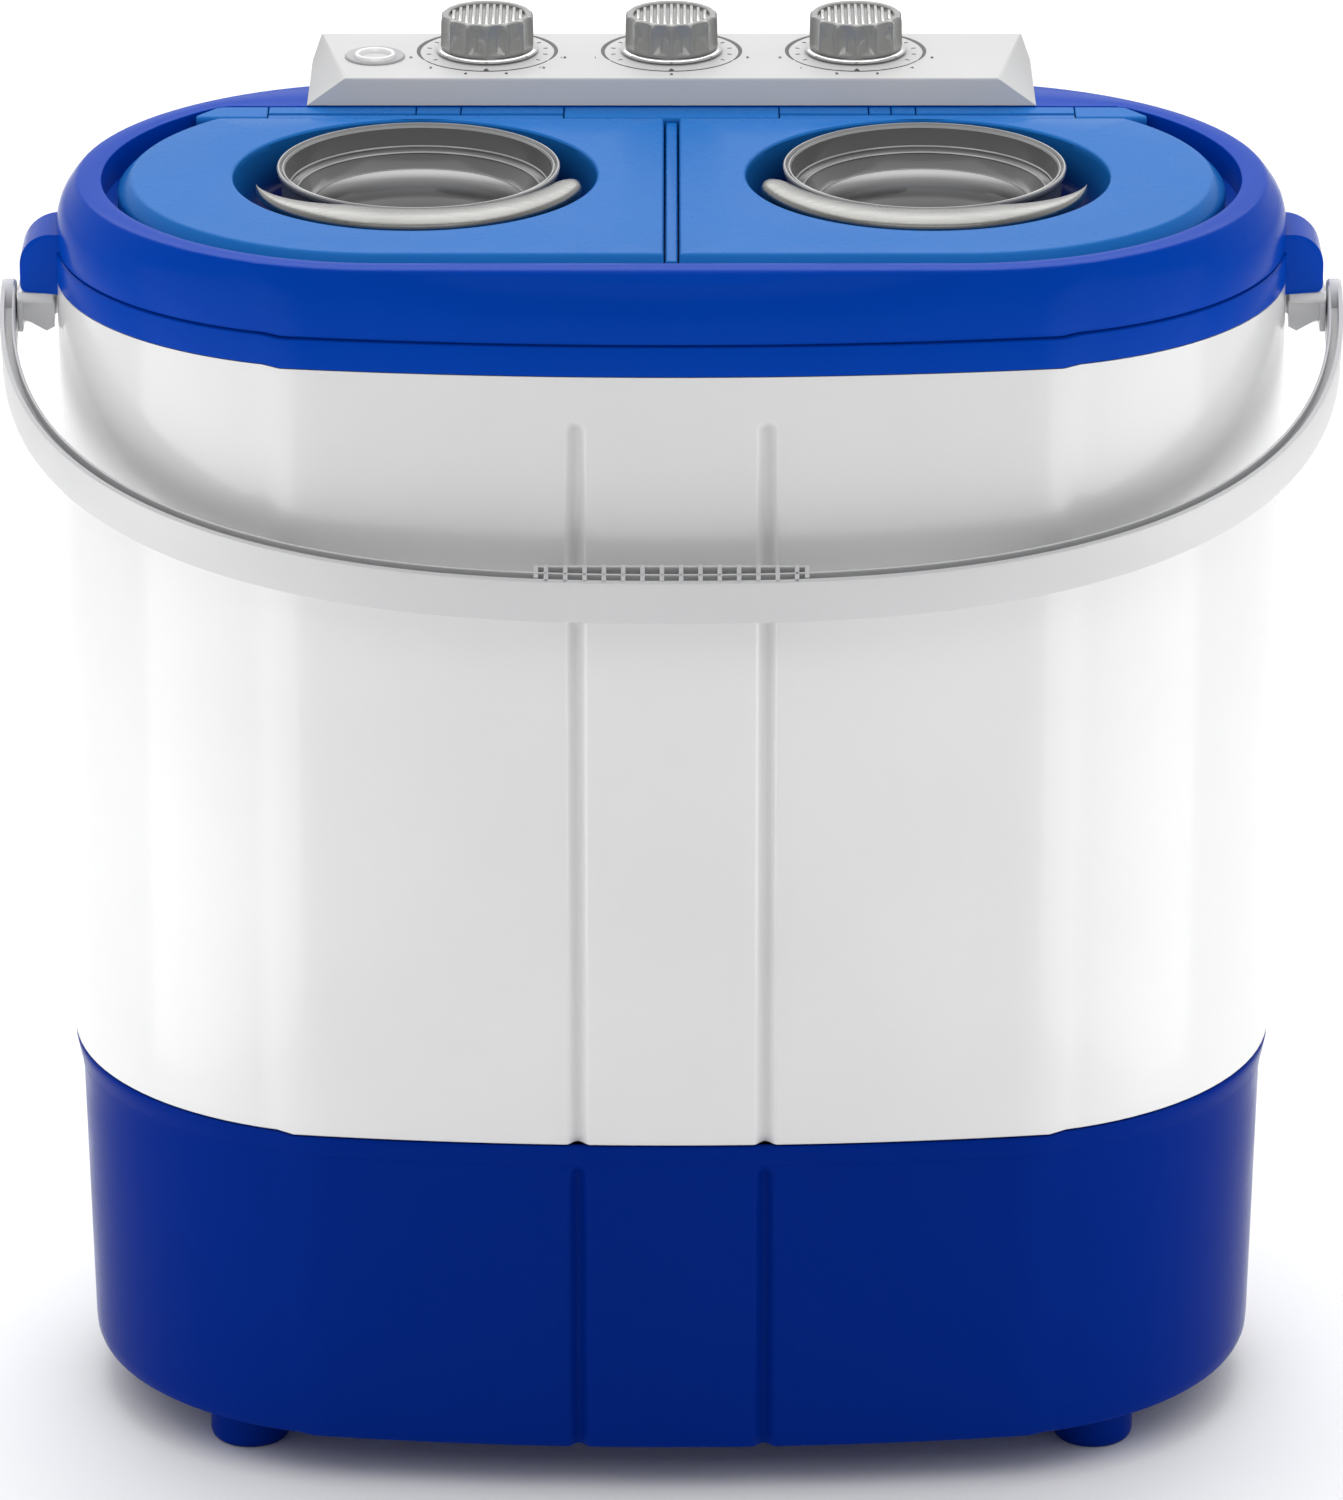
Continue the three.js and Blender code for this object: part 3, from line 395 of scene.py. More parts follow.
def vary(nodes, links, source, low, high):
    """Maps a noise's middle range to low..high."""
    values = {"From Min": 0.3, "From Max": 0.7, "To Min": low, "To Max": high}
    ranged = new_node(nodes, "MapRange", values)
    links.new(source, ranged.inputs["Value"])
    return ranged.outputs["Result"]


def tint(nodes, links, source, first, second):
    ramp = nodes.new("ShaderNodeValToRGB")
    for stop, place, colour in zip(ramp.color_ramp.elements, (0.35, 0.65), (first, second)):
        stop.position = place
        stop.color = (*colour, 1)
    links.new(source, ramp.inputs["Fac"])
    return ramp.outputs["Color"]


def bumps(nodes, links, source, distance, strength):
    bump = new_node(nodes, "Bump", {"Distance": distance, "Strength": strength})
    links.new(source, bump.inputs["Height"])
    return bump.outputs["Normal"]


def along(nodes, links, source, axis, values):
    """Smooth step along an axis of some texture coordinates."""
    place = nodes.new("ShaderNodeTexCoord")
    parts = nodes.new("ShaderNodeSeparateXYZ")
    links.new(place.outputs[source], parts.inputs["Vector"])
    share = new_node(nodes, "MapRange", values)
    share.interpolation_type = "SMOOTHSTEP"
    links.new(parts.outputs[axis], share.inputs["Value"])
    return share.outputs["Result"]


def paint_height_shade(nodes, links, colour, shadow_colour, low, high):
    """Painted shade: blends a colour into a dark shadow colour, from height `high` down to `low`."""
    depth = along(nodes, links, "Object", "Z", {"From Min": low * MM, "From Max": high * MM})
    shade = nodes.new("ShaderNodeMix")
    shade.data_type = "RGBA"
    shade.inputs["A"].default_value = (*shadow_colour, 1)
    links.new(depth, shade.inputs["Factor"])
    links.new(colour, shade.inputs["B"])
    return shade.outputs["Result"]


def moulded(name, colour, roughness, grain=0.00006, coat=0.0, specular=0.5, painted_shade=None):
    """Moulded plastic: faint cloudiness, uneven gloss and a fine skin texture."""
    material, nodes, links, surface = shader(name)
    cloud = noise(nodes, links, 9.0)
    dark = tuple(c * 0.98 for c in colour)
    light = tuple(min(1.0, c * 1.015) for c in colour)
    shade = tint(nodes, links, cloud, dark, light)
    # Optional painted shade: the colour darkens lower down, standing in for shade in a recess.
    if painted_shade is not None:
        shade = paint_height_shade(nodes, links, shade, *painted_shade)
    links.new(shade, surface.inputs["Base Color"])
    smear = noise(nodes, links, 35.0, 6.0)
    gloss = vary(nodes, links, smear, roughness * 0.85, roughness * 1.2)
    links.new(gloss, surface.inputs["Roughness"])
    skin = noise(nodes, links, 900.0, 2.0)
    links.new(bumps(nodes, links, skin, grain, 0.35), surface.inputs["Normal"])
    shine = {"Specular IOR Level": specular, "Coat Weight": coat, "Coat Roughness": 0.04}
    set_inputs(surface, shine)
    return material


def metal(name, colour, roughness, scratch=60.0):
    """Metal with fine drawn lines and patchy polish."""
    material, nodes, links, surface = shader(name)
    surface.inputs["Metallic"].default_value = 1.0
    coordinates = nodes.new("ShaderNodeTexCoord")
    stretch = new_node(nodes, "Mapping", {"Scale": (1.0, 14.0, 14.0)})
    links.new(coordinates.outputs["Object"], stretch.inputs["Vector"])
    lines = noise(nodes, links, scratch, 6.0, stretch.outputs["Vector"])
    patches = noise(nodes, links, 18.0)
    dark = tuple(c * 0.88 for c in colour)
    links.new(tint(nodes, links, patches, dark, colour), surface.inputs["Base Color"])
    gloss = vary(nodes, links, lines, roughness * 0.75, roughness * 1.3)
    links.new(gloss, surface.inputs["Roughness"])
    links.new(bumps(nodes, links, lines, 0.00004, 0.2), surface.inputs["Normal"])
    return material


def pane_painted_reflection(name):
    """Frosted pane with painted reflection and painted shade: painted pale at the hinge side, painted
    near black towards the grip.
    """
    material, nodes, links, surface = shader(name)
    # Painted reflection and shade: colour ramp along the pane from near black at the front to pale grey
    # at the back.
    ramp = nodes.new("ShaderNodeValToRGB")
    ramp.color_ramp.elements[0].color = (0.03, 0.03, 0.031, 1)
    ramp.color_ramp.elements[1].color = (0.72, 0.72, 0.73, 1)
    ramp.color_ramp.elements.new(0.5).color = (0.22, 0.22, 0.221, 1)
    values = {"From Min": (WINDOW_Y - 8) * MM, "From Max": (WINDOW_Y + 46) * MM}
    links.new(along(nodes, links, "Object", "Y", values), ramp.inputs["Fac"])
    links.new(ramp.outputs["Color"], surface.inputs["Base Color"])
    smear = noise(nodes, links, 30.0, 5.0)
    links.new(vary(nodes, links, smear, 0.06, 0.14), surface.inputs["Roughness"])
    surface.inputs["Specular IOR Level"].default_value = 0.05
    return material


COLLAR_BLUE = moulded("collar_blue", (0.0, 0.046, 0.38), 0.2, specular=0.03)
BASE_BLUE = moulded("base_blue", (0.0, 0.017, 0.20), 0.2, specular=0.02)
# Painted shade for the lids' bowls: the lid blue turns near black from 571.5 mm down to 551 mm.
BOWL_PAINTED_SHADE = ((0.0, 0.004, 0.07), 551.0, 571.5)
LID_BLUE = moulded(
    "lid_blue", (0.010, 0.135, 0.45), 0.26, grain=0.00003, specular=0.04, painted_shade=BOWL_PAINTED_SHADE
)
BODY_WHITE = moulded("body_white", (0.71, 0.71, 0.712), 0.2, coat=0.2)
BAIL_WHITE = moulded("bail_white", (0.56, 0.56, 0.565), 0.35)
PANEL_WHITE = moulded("panel_white", (0.50, 0.50, 0.50), 0.4, specular=0.1)
CELL_GREY = moulded("cell_grey", (0.32, 0.32, 0.33), 0.45)
TUB_WHITE = moulded("tub_white", (0.78, 0.80, 0.82), 0.33)
GREY_PLASTIC = moulded("grey_plastic", (0.27, 0.29, 0.31), 0.5)
DARK_PLASTIC = moulded("dark_plastic", (0.018, 0.02, 0.023), 0.45)
RUBBER = moulded("black_rubber", (0.013, 0.013, 0.014), 0.7, grain=0.0002)
SMOKED_RING = moulded("smoked_ring", (0.12, 0.12, 0.12), 0.16, specular=0.3)
RING_EDGE = moulded("ring_edge", (0.36, 0.36, 0.36), 0.15)
PANE_PAINTED_REFLECTION = pane_painted_reflection("pane_painted_reflection")
INK = moulded("dial_ink", (0.012, 0.012, 0.014), 0.4)
SATIN_GRIP = metal("satin_grip", (0.24, 0.238, 0.23), 0.30)
CHROME = metal("chrome", (0.60, 0.60, 0.60), 0.12)
KNOB_GREY = moulded("knob_grey", (0.22, 0.22, 0.212), 0.12, coat=0.3)
STEEL = metal("steel", (0.52, 0.53, 0.54), 0.34)


# ---- Making pieces ----


def mesh_of(name, shape, weld=False):
    """Mesh in metres from a shape in millimetres, faces turned outwards."""
    mesh = bpy.data.meshes.new(name)
    mesh.from_pydata([tuple(c * MM for c in point) for point in shape[0]], [], shape[1])
    if weld:
        mesh.validate()
    work = bmesh.new()
    work.from_mesh(mesh)
    if weld:
        bmesh.ops.remove_doubles(work, verts=work.verts, dist=1e-6)
    bmesh.ops.recalc_face_normals(work, faces=work.faces)
    work.to_mesh(mesh)
    work.free()
    return mesh


def linked(name, data):
    """New object in the scene."""
    thing = bpy.data.objects.new(name, data)
    scene.collection.objects.link(thing)
    return thing


def smooth(mesh, sharp=SHARP):
    mesh.shade_smooth()
    mesh.set_sharp_from_angle(angle=radians(sharp))


def baked(thing):
    """Mesh of an object with its modifiers applied."""
    graph = bpy.context.evaluated_depsgraph_get()
    return bpy.data.meshes.new_from_object(thing.evaluated_get(graph))


def piece(name, shape, material, replaces=(), body="casing", sharp=SHARP):
    """Mesh object from a shape in millimetres, riding on a CAD body."""
    mesh = mesh_of(name, shape, weld=True)
    smooth(mesh, sharp)
    mesh.materials.append(material)
    thing = linked(name, mesh)
    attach(thing, body)
    if replaces:
        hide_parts(*replaces)
    return thing


def carve(thing, shape):
    """Cuts a shape out of a finished piece."""
    cutter = linked("cutter", mesh_of("cutter", shape))
    modifier = thing.modifiers.new("cut", "BOOLEAN")
    modifier.object = cutter
    modifier.operation = "DIFFERENCE"
    modifier.solver = "EXACT"
    thing.data = baked(thing)
    thing.modifiers.remove(modifier)
    bpy.data.objects.remove(cutter)
    smooth(thing.data)


# ---- Camera, light and floor ----


def make_camera():
    camera = linked("camera", bpy.data.cameras.new("camera"))
    camera.location = CAMERA_PLACE
    camera.rotation_euler = (pi / 2 - CAMERA_PITCH, 0.0, 0.0)
    camera.data.lens = 216.0
    camera.data.sensor_width = 36.0
    scene.camera = camera


def area_light(name, place, target, width, height, power):
    light = bpy.data.lights.new(name, "AREA")
    light.shape = "RECTANGLE"
    light.size = width
    light.size_y = height
    light.energy = power
    holder = linked(name, light)
    holder.location = place
    direction = Vector(target) - Vector(place)
    holder.rotation_euler = direction.to_track_quat("-Z", "Y").to_euler()
    holder.visible_camera = False
    return holder


def make_world():
    """Studio surround: bright behind, dimmer in front."""
    world = bpy.data.worlds.new("studio")
    scene.world = world
    world.use_nodes = True
    nodes, links = world.node_tree.nodes, world.node_tree.links
    values = {"From Min": -0.6, "From Max": 0.7, "To Min": 0.42, "To Max": 1.0}
    strength = along(nodes, links, "Generated", "Y", values)
    background = nodes["Background"]
    background.inputs["Color"].default_value = (1, 1, 1, 1)
    links.new(strength, background.inputs["Strength"])


def make_floor():
    mesh = bpy.data.meshes.new("floor")
    square = [(-9.0, -9.0, 0), (9.0, -9.0, 0), (9.0, 9.0, 0), (-9.0, 9.0, 0)]
    mesh.from_pydata(square, [], [(0, 1, 2, 3)])
    material, nodes, links, surface = shader("floor")
    cloud = noise(nodes, links, 3.0)
    shade = tint(nodes, links, cloud, (0.88, 0.88, 0.885), (0.92, 0.92, 0.92))
    links.new(shade, surface.inputs["Base Color"])
    surface.inputs["Roughness"].default_value = 0.8
    mesh.materials.append(material)
    linked("floor", mesh)


make_camera()
scene.view_settings.view_transform = "Standard"
make_world()
make_floor()
area_light("overhead", (0.0, 0.35, 1.75), (0.0, 0.05, 0.0), 1.5, 1.3, 10.5)
area_light("backdrop", (0.0, 2.6, 2.2), (0.0, 2.6, 0.0), 3.4, 2.2, 46.0)
area_light("front", (0.0, -1.5, 2.1), (0.0, -0.75, 0.0), 2.6, 1.0, 7.5)
floor_wash = area_light("floor_wash", (0.0, -1.3, 1.5), (0.0, -0.7, 0.0), 3.2, 1.6, 15.0)
panel_wash = area_light("panel_wash", (0.0, -1.6, 1.3), (0.0, 0.1, 0.58), 1.4, 0.8, 11.0)
cards = []
for side in (-1, 1):
    place, target = (side * 0.51, -0.293, 0.31), (side * 0.19, -0.18, 0.33)
    cards.append(area_light(f"card_{side}", place, target, 0.43, 0.52, 0.95))


# ---- Casing ----


def make_base():
    """Base housing: outer wall, seam lip, inner wall and a floor with a service opening."""
    heights = [
        (FLOOR_Z, 9.0, 6.0), (FLOOR_Z + 0.8, 7.9, 4.6), (FLOOR_Z + 3.0, 7.0, 3.6),
        (FLOOR_Z + 8.0, 6.6, 3.1),
    ]
    for z in spread(45, 154, 12):
        heights.append((z, 6.6 - 3.0 * (z - 32) / 129, 3.1 - 0.5 * (z - 32) / 129))
    levels = [at(casing(inset_x, inset_y, groove=z), z) for z, inset_x, inset_y in heights]
    for z, inset in ((158.0, 3.1), (160.5, 2.9), (161.8, 2.7)):
        fade = FLUTE_TOP + FLUTE_HALF * (z - 156.0) / 6.0
        levels.append(at(casing(inset, groove=fade), z))
    for z, inset in ((162.1, 2.3), (164.0, 1.9), (167.5, 1.2), (170.6, 0.6)):
        levels.append(at(casing(inset), z))
    lip = SEAM_Z - GAP / 2
    for z, inset in ((lip - 0.7, 0.75), (lip - 0.15, 1.1), (lip, 1.6), (lip, 3.4), (lip - 2, 5.2)):
        levels.append(at(casing(inset), z))
    levels.append(at(casing(5.6, groove=150.0), 156.0))
    levels.append(at(casing(9.2, 5.8, groove=100.0), FLOOR_Z + 8.0))
    levels.append(at(casing(10.5, 8.0, groove=100.0), FLOOR_Z + 3.0))

    def opening(z):
        ring = []
        for x, y in casing(0.0):
            reach = min(SERVICE_X / max(abs(x), 1e-6), SERVICE_Y / max(abs(y), 1e-6))
            ring.append((x * reach, y * reach, z))
        return ring

    shape = loft(levels + [opening(FLOOR_Z + 3.0), opening(FLOOR_Z)], ring=True)
    base = piece("base_skin", shape, BASE_BLUE, ["base_housing"])
    holes = []
    for radius, x, z in ((9.4, 0, OUTLET_Z), (7.4, GLAND_X, GLAND_Z)):
        plug = turned([(0, -12), (radius, -12), (radius, 12), (0, 12)])
        holes.append(lying_along_y(plug, x, 138, z))
    carve(base, combined(*holes))


def make_body():
    """White body: one drawn wall with two grooves in the front."""
    low = SEAM_Z + 0.45
    levels = []
    for z, inset in ((low, 1.9), (low + 0.15, 1.2), (low + 0.5, 0.75), (low + 1.1, 0.5)):
        levels.append(at(casing(inset, groove=z), z))
    rise = spread(low + 6, 494.0, 14) + spread(496.0, 510.0, 15) + [518.0, COLLAR_Z - GAP / 2]
    levels += [at(casing(0.5, groove=z), z) for z in rise]
    levels += [at(casing(3.0, groove=z), z) for z in reversed(rise)]
    levels += [at(casing(3.0, groove=low), low + 1.1), at(casing(2.6, groove=low), low)]
    piece("body_skin", loft(levels, ring=True), BODY_WHITE, ["body_shell"])


def make_collar():
    """Blue collar: skirt band, upper wall, rolled shoulder, flat rim and the lid pocket."""
    low = COLLAR_Z + 0.15
    levels = []
    for inset, z in (
        (1.1, low), (0.45, low + 0.15), (0.1, low + 0.6), (0.0, low + 1.3), (0.0, BAND_Z - 1.0),
        (0.12, BAND_Z - 0.5), (0.5, BAND_Z - 0.2), (2.2, BAND_Z), (2.2, BAND_Z + 0.5),
        (1.2, BAND_Z + 0.8), (1.0, BAND_Z + 1.3), (1.0, TOP_Z - 20.0),
    ):
        levels.append(at(casing(inset), z))
    wall, rim = casing(1.0), stadium(RIM_RADIUS)
    for share, drop in (
        (0.03, 17.0), (0.07, 15.0), (0.13, 12.8), (0.22, 10.4), (0.34, 8.2), (0.47, 6.3),
        (0.61, 4.5), (0.74, 3.0), (0.86, 1.7), (0.93, 0.9),
    ):
        levels.append(at(mix(wall, rim, share), TOP_Z - drop))
    levels.append(at(stadium(RIM_RADIUS - 0.3), TOP_Z - 0.3))
    levels.append(at(stadium(RIM_RADIUS - 1.2), TOP_Z))
    rear = PANEL_FRONT_Y - 0.2
    for radius, drop in ((0.9, 0.0), (0.35, 0.12), (0.05, 0.45), (0.0, 1.0), (0.0, 14.0)):
        levels.append(at(stadium(POCKET_RADIUS + radius, rear + radius), TOP_Z - drop))
    pocket = stadium(POCKET_RADIUS + 2.5, rear + 2.5)
    shoulder = mix(casing(4.0), stadium(RIM_RADIUS - 2.5), 0.7)
    levels += [at(pocket, DECK_Z), at(pocket, TOP_Z - 2.5), at(shoulder, TOP_Z - 6.0)]
    levels += [at(casing(3.8), TOP_Z - 20.0), at(casing(3.2), low)]
    shape = loft(levels, ring=True)
    collar = piece("collar_skin", shape, COLLAR_BLUE, ["top_collar"])
    carve(collar, block((-150, 104, DECK_Z - 2), (150, 135, TOP_Z + 10), 0.0))


def d_outline(side, radius, edge=0.0, split=0.0, rear=LID_REAR_Y):
    """Outline of one lid: front edge, round end, rear edge and the split in the middle."""
    inner = split + edge
    back = rear - edge
    sweep = asin(min(1.0, back / radius))
    points = [(x, -radius) for x in spread(inner, DECK_CENTRE, 30)]
    for angle in spread(-pi / 2, sweep, 70)[1:]:
        points.append((DECK_CENTRE + radius * cos(angle), radius * sin(angle)))
    end = points[-1][0]
    points += [(x, back) for x in spread(end, inner, 50)[1:]]
    points += [(inner, y) for y in spread(back, -radius, 50)[1:-1]]
    return [(side * x, y) for x, y in points]


def eye(side, x, y, radius, count_like, limit):
    """Circle whose points lie in the directions of another outline's points, cut at a limit."""
    ring = []
    for px, py in count_like:
        direction = Vector((px - side * x, py - y)).normalized()
        ring.append((side * x + radius * direction.x, min(y + radius * direction.y, limit)))
    return ring


def make_deck():
    """Floor of the lid pocket, with a round mouth over each tub."""
    for side, name in LIDS:
        edge = d_outline(side, POCKET_RADIUS - 0.1, rear=PANEL_FRONT_Y - 0.4)
        levels = [at(edge, DECK_Z - 4), at(edge, DECK_Z)]
        for lip, drop in ((2.5, 0.0), (1.0, 0.25), (0.0, 1.0), (0.0, 4)):
            levels.append(at(eye(side, TUB_X, 0, MOUTH_RADIUS + lip, edge, 98.0), DECK_Z - drop))
        piece(f"{name}_deck", loft(levels, ring=True), COLLAR_BLUE)


def make_ears():
    """Ears of the collar over the bail pivots: quarter-round on top, narrower outwards."""
    inner, outer, low, high, curve = 262.0, COLLAR_HIGH.x + 1.0, 521.7, 549.0, 15.0
    profile = [(inner, low), (outer - 3, low)]
    for angle in spread(-pi / 2, 0, 5)[1:]:
        profile.append((outer - 3 + 3 * cos(angle), low + 3 + 3 * sin(angle)))
    for angle in spread(0, pi / 2, 12):
        profile.append((outer - curve + curve * cos(angle), high - curve + curve * sin(angle)))
    profile.append((inner, high))
    for side, name in SIDES:
        levels = []
        rounding = ((-1, 1.6), (-0.985, 0.6), (-0.94, 0.0), (0.94, 0.0), (0.985, 0.6), (1, 1.6))
        for share, inset in rounding:
            level = []
            for x, z in inwards(profile, inset):
                half = 19.5 - 6.0 * (x - inner) / (outer - inner)
                level.append((side * x, share * half, z))
            levels.append(level)
        piece(f"collar_ear_{name}", loft(levels), COLLAR_BLUE)


def make_hinge():
    """Hinge strip behind the lids, in segments, with its round front between the knuckles."""
    marks = [-180.0, -114.0, -94.0, -48.0, 48.0, 88.0, 98.0, 109.0, 180.0]
    top = STRIP_HIGH.z
    rear = PANEL_FRONT_Y - 0.5
    ends = [-212.0] + marks + [212.0]
    parts = []
    for low, high in zip(ends, ends[1:]):
        knuckle = 48.0 <= max(abs(low), abs(high)) <= 180.0 and abs(low + high) > 20
        front = 88.6 if knuckle else 82.4
        rows = [(front, 560.0), (front, 568.0 if not knuckle else top - 0.6)]
        if knuckle:
            rows.append((front + 0.6, top))
        else:
            for angle in spread(pi, pi / 2, 7)[1:]:
                rows.append((HINGE_Y + 2.7 * cos(angle), HINGE_Z + 2.7 * sin(angle)))
        rows += [(rear - 0.5, top), (rear, top - 0.5), (rear, 560.0)]
        low_x, high_x = low + 0.25, high - 0.25
        levels = []
        for x, inset in ((low_x, 0.35), (low_x + 0.35, 0.0), (high_x - 0.35, 0.0), (high_x, 0.35)):
            loop = []
            for y, z in rows:
                slip = y - 88.5 if abs(x) > 205 and y > 88.5 else 0.0
                loop.append((x - slip * (1 if x > 0 else -1), y, z - (inset if z > 570 else 0.0)))
            levels.append(loop)
        parts.append(loft(levels))
    parts.append(block((-2.6, -LID_RADIUS + 2, DECK_Z + 0.1), (2.6, LID_REAR_Y, TOP_Z - 2.4), 1.0))
    piece("hinge_cover", combined(*parts), LID_BLUE, ["hinge_strip"])


def make_lid(side, name, body):
    """Lid: bevelled D outline, off-centre bowl round the window, skirt and hinge knuckle."""
    plan = d_outline(side, LID_RADIUS, split=LID_SPLIT)
    limit = LID_REAR_Y - 2.6

    def d(radius, edge, z):
        return at(d_outline(side, radius, edge, LID_SPLIT), z)

    def ring(radius, z, share=0.0, room=0.0):
        x = RECESS_X + (WINDOW_X - RECESS_X) * share
        y = -0.5 + 14.5 * share
        return at(eye(side, x, y, radius, plan, limit + room), z)

    levels = [d(LID_RADIUS, 0.0, DECK_Z + 1.3), d(LID_RADIUS, 0.0, 565.6)]
    levels += [d(LID_RADIUS - 0.3, 0.15, 566.4), d(LID_RADIUS - 1.1, 0.3, 567.4)]
    levels += [d(113.4, 0.5, 570.8), d(112.6, 0.8, 571.4)]
    levels += [d(LID_TOP_RADIUS, 1.2, 571.8), d(LID_TOP_RADIUS - 1.4, 2.0, TOP_Z)]
    for radius, drop in ((1.9, 0.0), (1.1, 0.1), (0.4, 0.5), (0.0, 1.1)):
        levels.append(ring(RECESS_RADIUS + radius, TOP_Z - drop))
    for share in spread(0.0, 1.0, 12)[1:]:
        radius = BOWL_RADIUS + (RECESS_RADIUS - BOWL_RADIUS) * cos(share * pi / 2)
        z = BOWL_Z + (TOP_Z - 1.1 - BOWL_Z) * (1 - sin(share * pi / 2))
        levels.append(ring(radius, z, 1 - cos(share * pi / 2)))
    levels.append(ring(61.0, BOWL_Z, 1.1))
    levels.append(ring(61.0, BOWL_Z - 2.4, 1.1))
    for share in spread(1.0, 0.0, 8):
        radius = BOWL_RADIUS + 2.3 + (RECESS_RADIUS - BOWL_RADIUS) * cos(share * pi / 2)
        z = BOWL_Z - 2.4 + (TOP_Z - 0.4 - BOWL_Z) * (1 - sin(share * pi / 2))
        levels.append(ring(radius, min(z, TOP_Z - 2.5), 1 - cos(share * pi / 2), 1.2))
    levels += [d(109.0, 1.3, TOP_Z - 2.5), d(115.3, 1.3, 565.0), d(115.3, 1.3, DECK_Z + 1.3)]
    start = 48.3 if side > 0 else -179.7
    length = 131.4
    roll = [(0, 0), (2.4, 0), (2.8, 0.4), (2.8, length - 0.4), (2.4, length), (0, length)]
    knuckle = lying_along_x(turned(roll, count=32), start, HINGE_Y, HINGE_Z)
    web = block((start, LID_REAR_Y - 1.2, 566.2), (start + length, HINGE_Y, 571.8), 0.3)
    shape = combined(loft(levels, ring=True), knuckle, web)
    piece(f"{name}_lid_cover", shape, LID_BLUE, [f"{name}_lid"], body)


def make_window(side, name, body):
    """Window cup: bright-edged smoked ring with two steps, and a domed frosted pane."""

    def cup(profile):
        return turned(profile, side * WINDOW_X, WINDOW_Y, 96)

    ring = cup([
        (60.2, 552.6), (60.2, 566.5), (61.2, 567.3), (61.9, 568.2), (61.9, 569.2), (58.6, 569.2),
        (57.0, 561.2), (56.5, 560.4), (53.6, 559.4), (52.9, 558.6), (50.0, 554.8), (47.2, 553.4),
        (47.2, 549.0), (57.0, 549.4),
    ])
    piece(f"{name}_window_ring", ring, SMOKED_RING, [f"{name}_lid_window"], body)
    rims = combined(
        cup([(60.6, 569.3), (62.0, 569.3), (62.1, 570.3), (61.7, 570.9), (61.1, 570.9)]),
        cup([(58.8, 569.3), (59.8, 569.3), (59.7, 570.1), (59.2, 570.2)]),
        cup([(56.9, 560.9), (57.3, 561.4), (57.1, 561.8), (56.6, 561.3)]),
        cup([(53.5, 559.3), (53.9, 559.7), (53.6, 560.0), (53.1, 559.5)]),
        cup([(46.5, 553.5), (47.2, 553.5), (47.2, 554.3), (46.7, 554.4)]),
    )
    piece(f"{name}_window_edges", rims, RING_EDGE, body=body)
    radius = 46.4
    dome = [(radius * share, 559.6 - 5.6 * share**2) for share in spread(0.0, 1.0, 10)]
    pane = cup(dome + [(radius, 550.2), (0, 553.6)])
    piece(f"{name}_window_pane", pane, PANE_PAINTED_REFLECTION, body=body)


def bulge(value, exponent):
    """Power that keeps the sign, to square off a round section."""
    return abs(value) ** exponent * (1 if value > 0 else -1)


def make_grip(side, name, body):
    """Crescent grip between bowl and window: pointed outwards, blunt towards the middle."""
    levels = []
    for share in spread(0.0, 1.0, 71):
        angle = radians(GRIP_START + GRIP_SWEEP * share)
        c, s = cos(angle), sin(angle)
        taper = min(1.0, share / GRIP_POINT)
        outer = GRIP_REACH - 5.0 * (1 - taper) ** 2
        inner = WINDOW_Y * s + sqrt((WINDOW_Y * s) ** 2 + GRIP_CLEAR**2 - WINDOW_Y**2)
        blunt = min(1.0, (1 - share) / GRIP_BLUNT)
        ease = max(0.05, taper**0.75 * sqrt(max(0.0, 1 - (1 - blunt) ** 2)))
        centre, half = (outer + inner) / 2, (outer - inner) / 2 * ease
        if share < GRIP_POINT:
            centre = outer - half
        height = GRIP_HALF_HEIGHT * (0.4 + 0.6 * ease)
        loop = []
        for turn in spread(0, 2 * pi, 29)[:-1]:
            reach = centre + half * bulge(cos(turn), 0.8)
            lift = height * bulge(sin(turn), 0.8)
            loop.append((side * (RECESS_X - reach * c), reach * s, GRIP_Z + lift))
        levels.append(loop)
    piece(f"{name}_grip_bar", loft(levels), SATIN_GRIP, [f"{name}_lid_grip"], body)


# ---- Bail ----


BAIL_FRAME = Matrix.Translation((0, 0, BAIL_PIVOT_Z)) @ Matrix.Rotation(pi + BAIL_ANGLE, 4, "X")


def bail_path(steps=160):
    """Outer line of the bail in its own plane, with inward normals."""
    points = []
    for i in range(steps + 1):
        angle = pi * i / steps
        c, s = cos(angle), sin(angle)
        x = BAIL_HALF_SPAN * abs(c) ** (2 / BAIL_EXPONENT) * (1 if c >= 0 else -1)
        points.append(Vector((x, BAIL_REACH * max(0.0, s) ** (2 / BAIL_EXPONENT))))
    stations = []
    for i, point in enumerate(points):
        before, after = points[max(0, i - 1)], points[min(steps, i + 1)]
        course = (after - before).normalized()
        stations.append((point, Vector((-course.y, course.x))))
    return stations


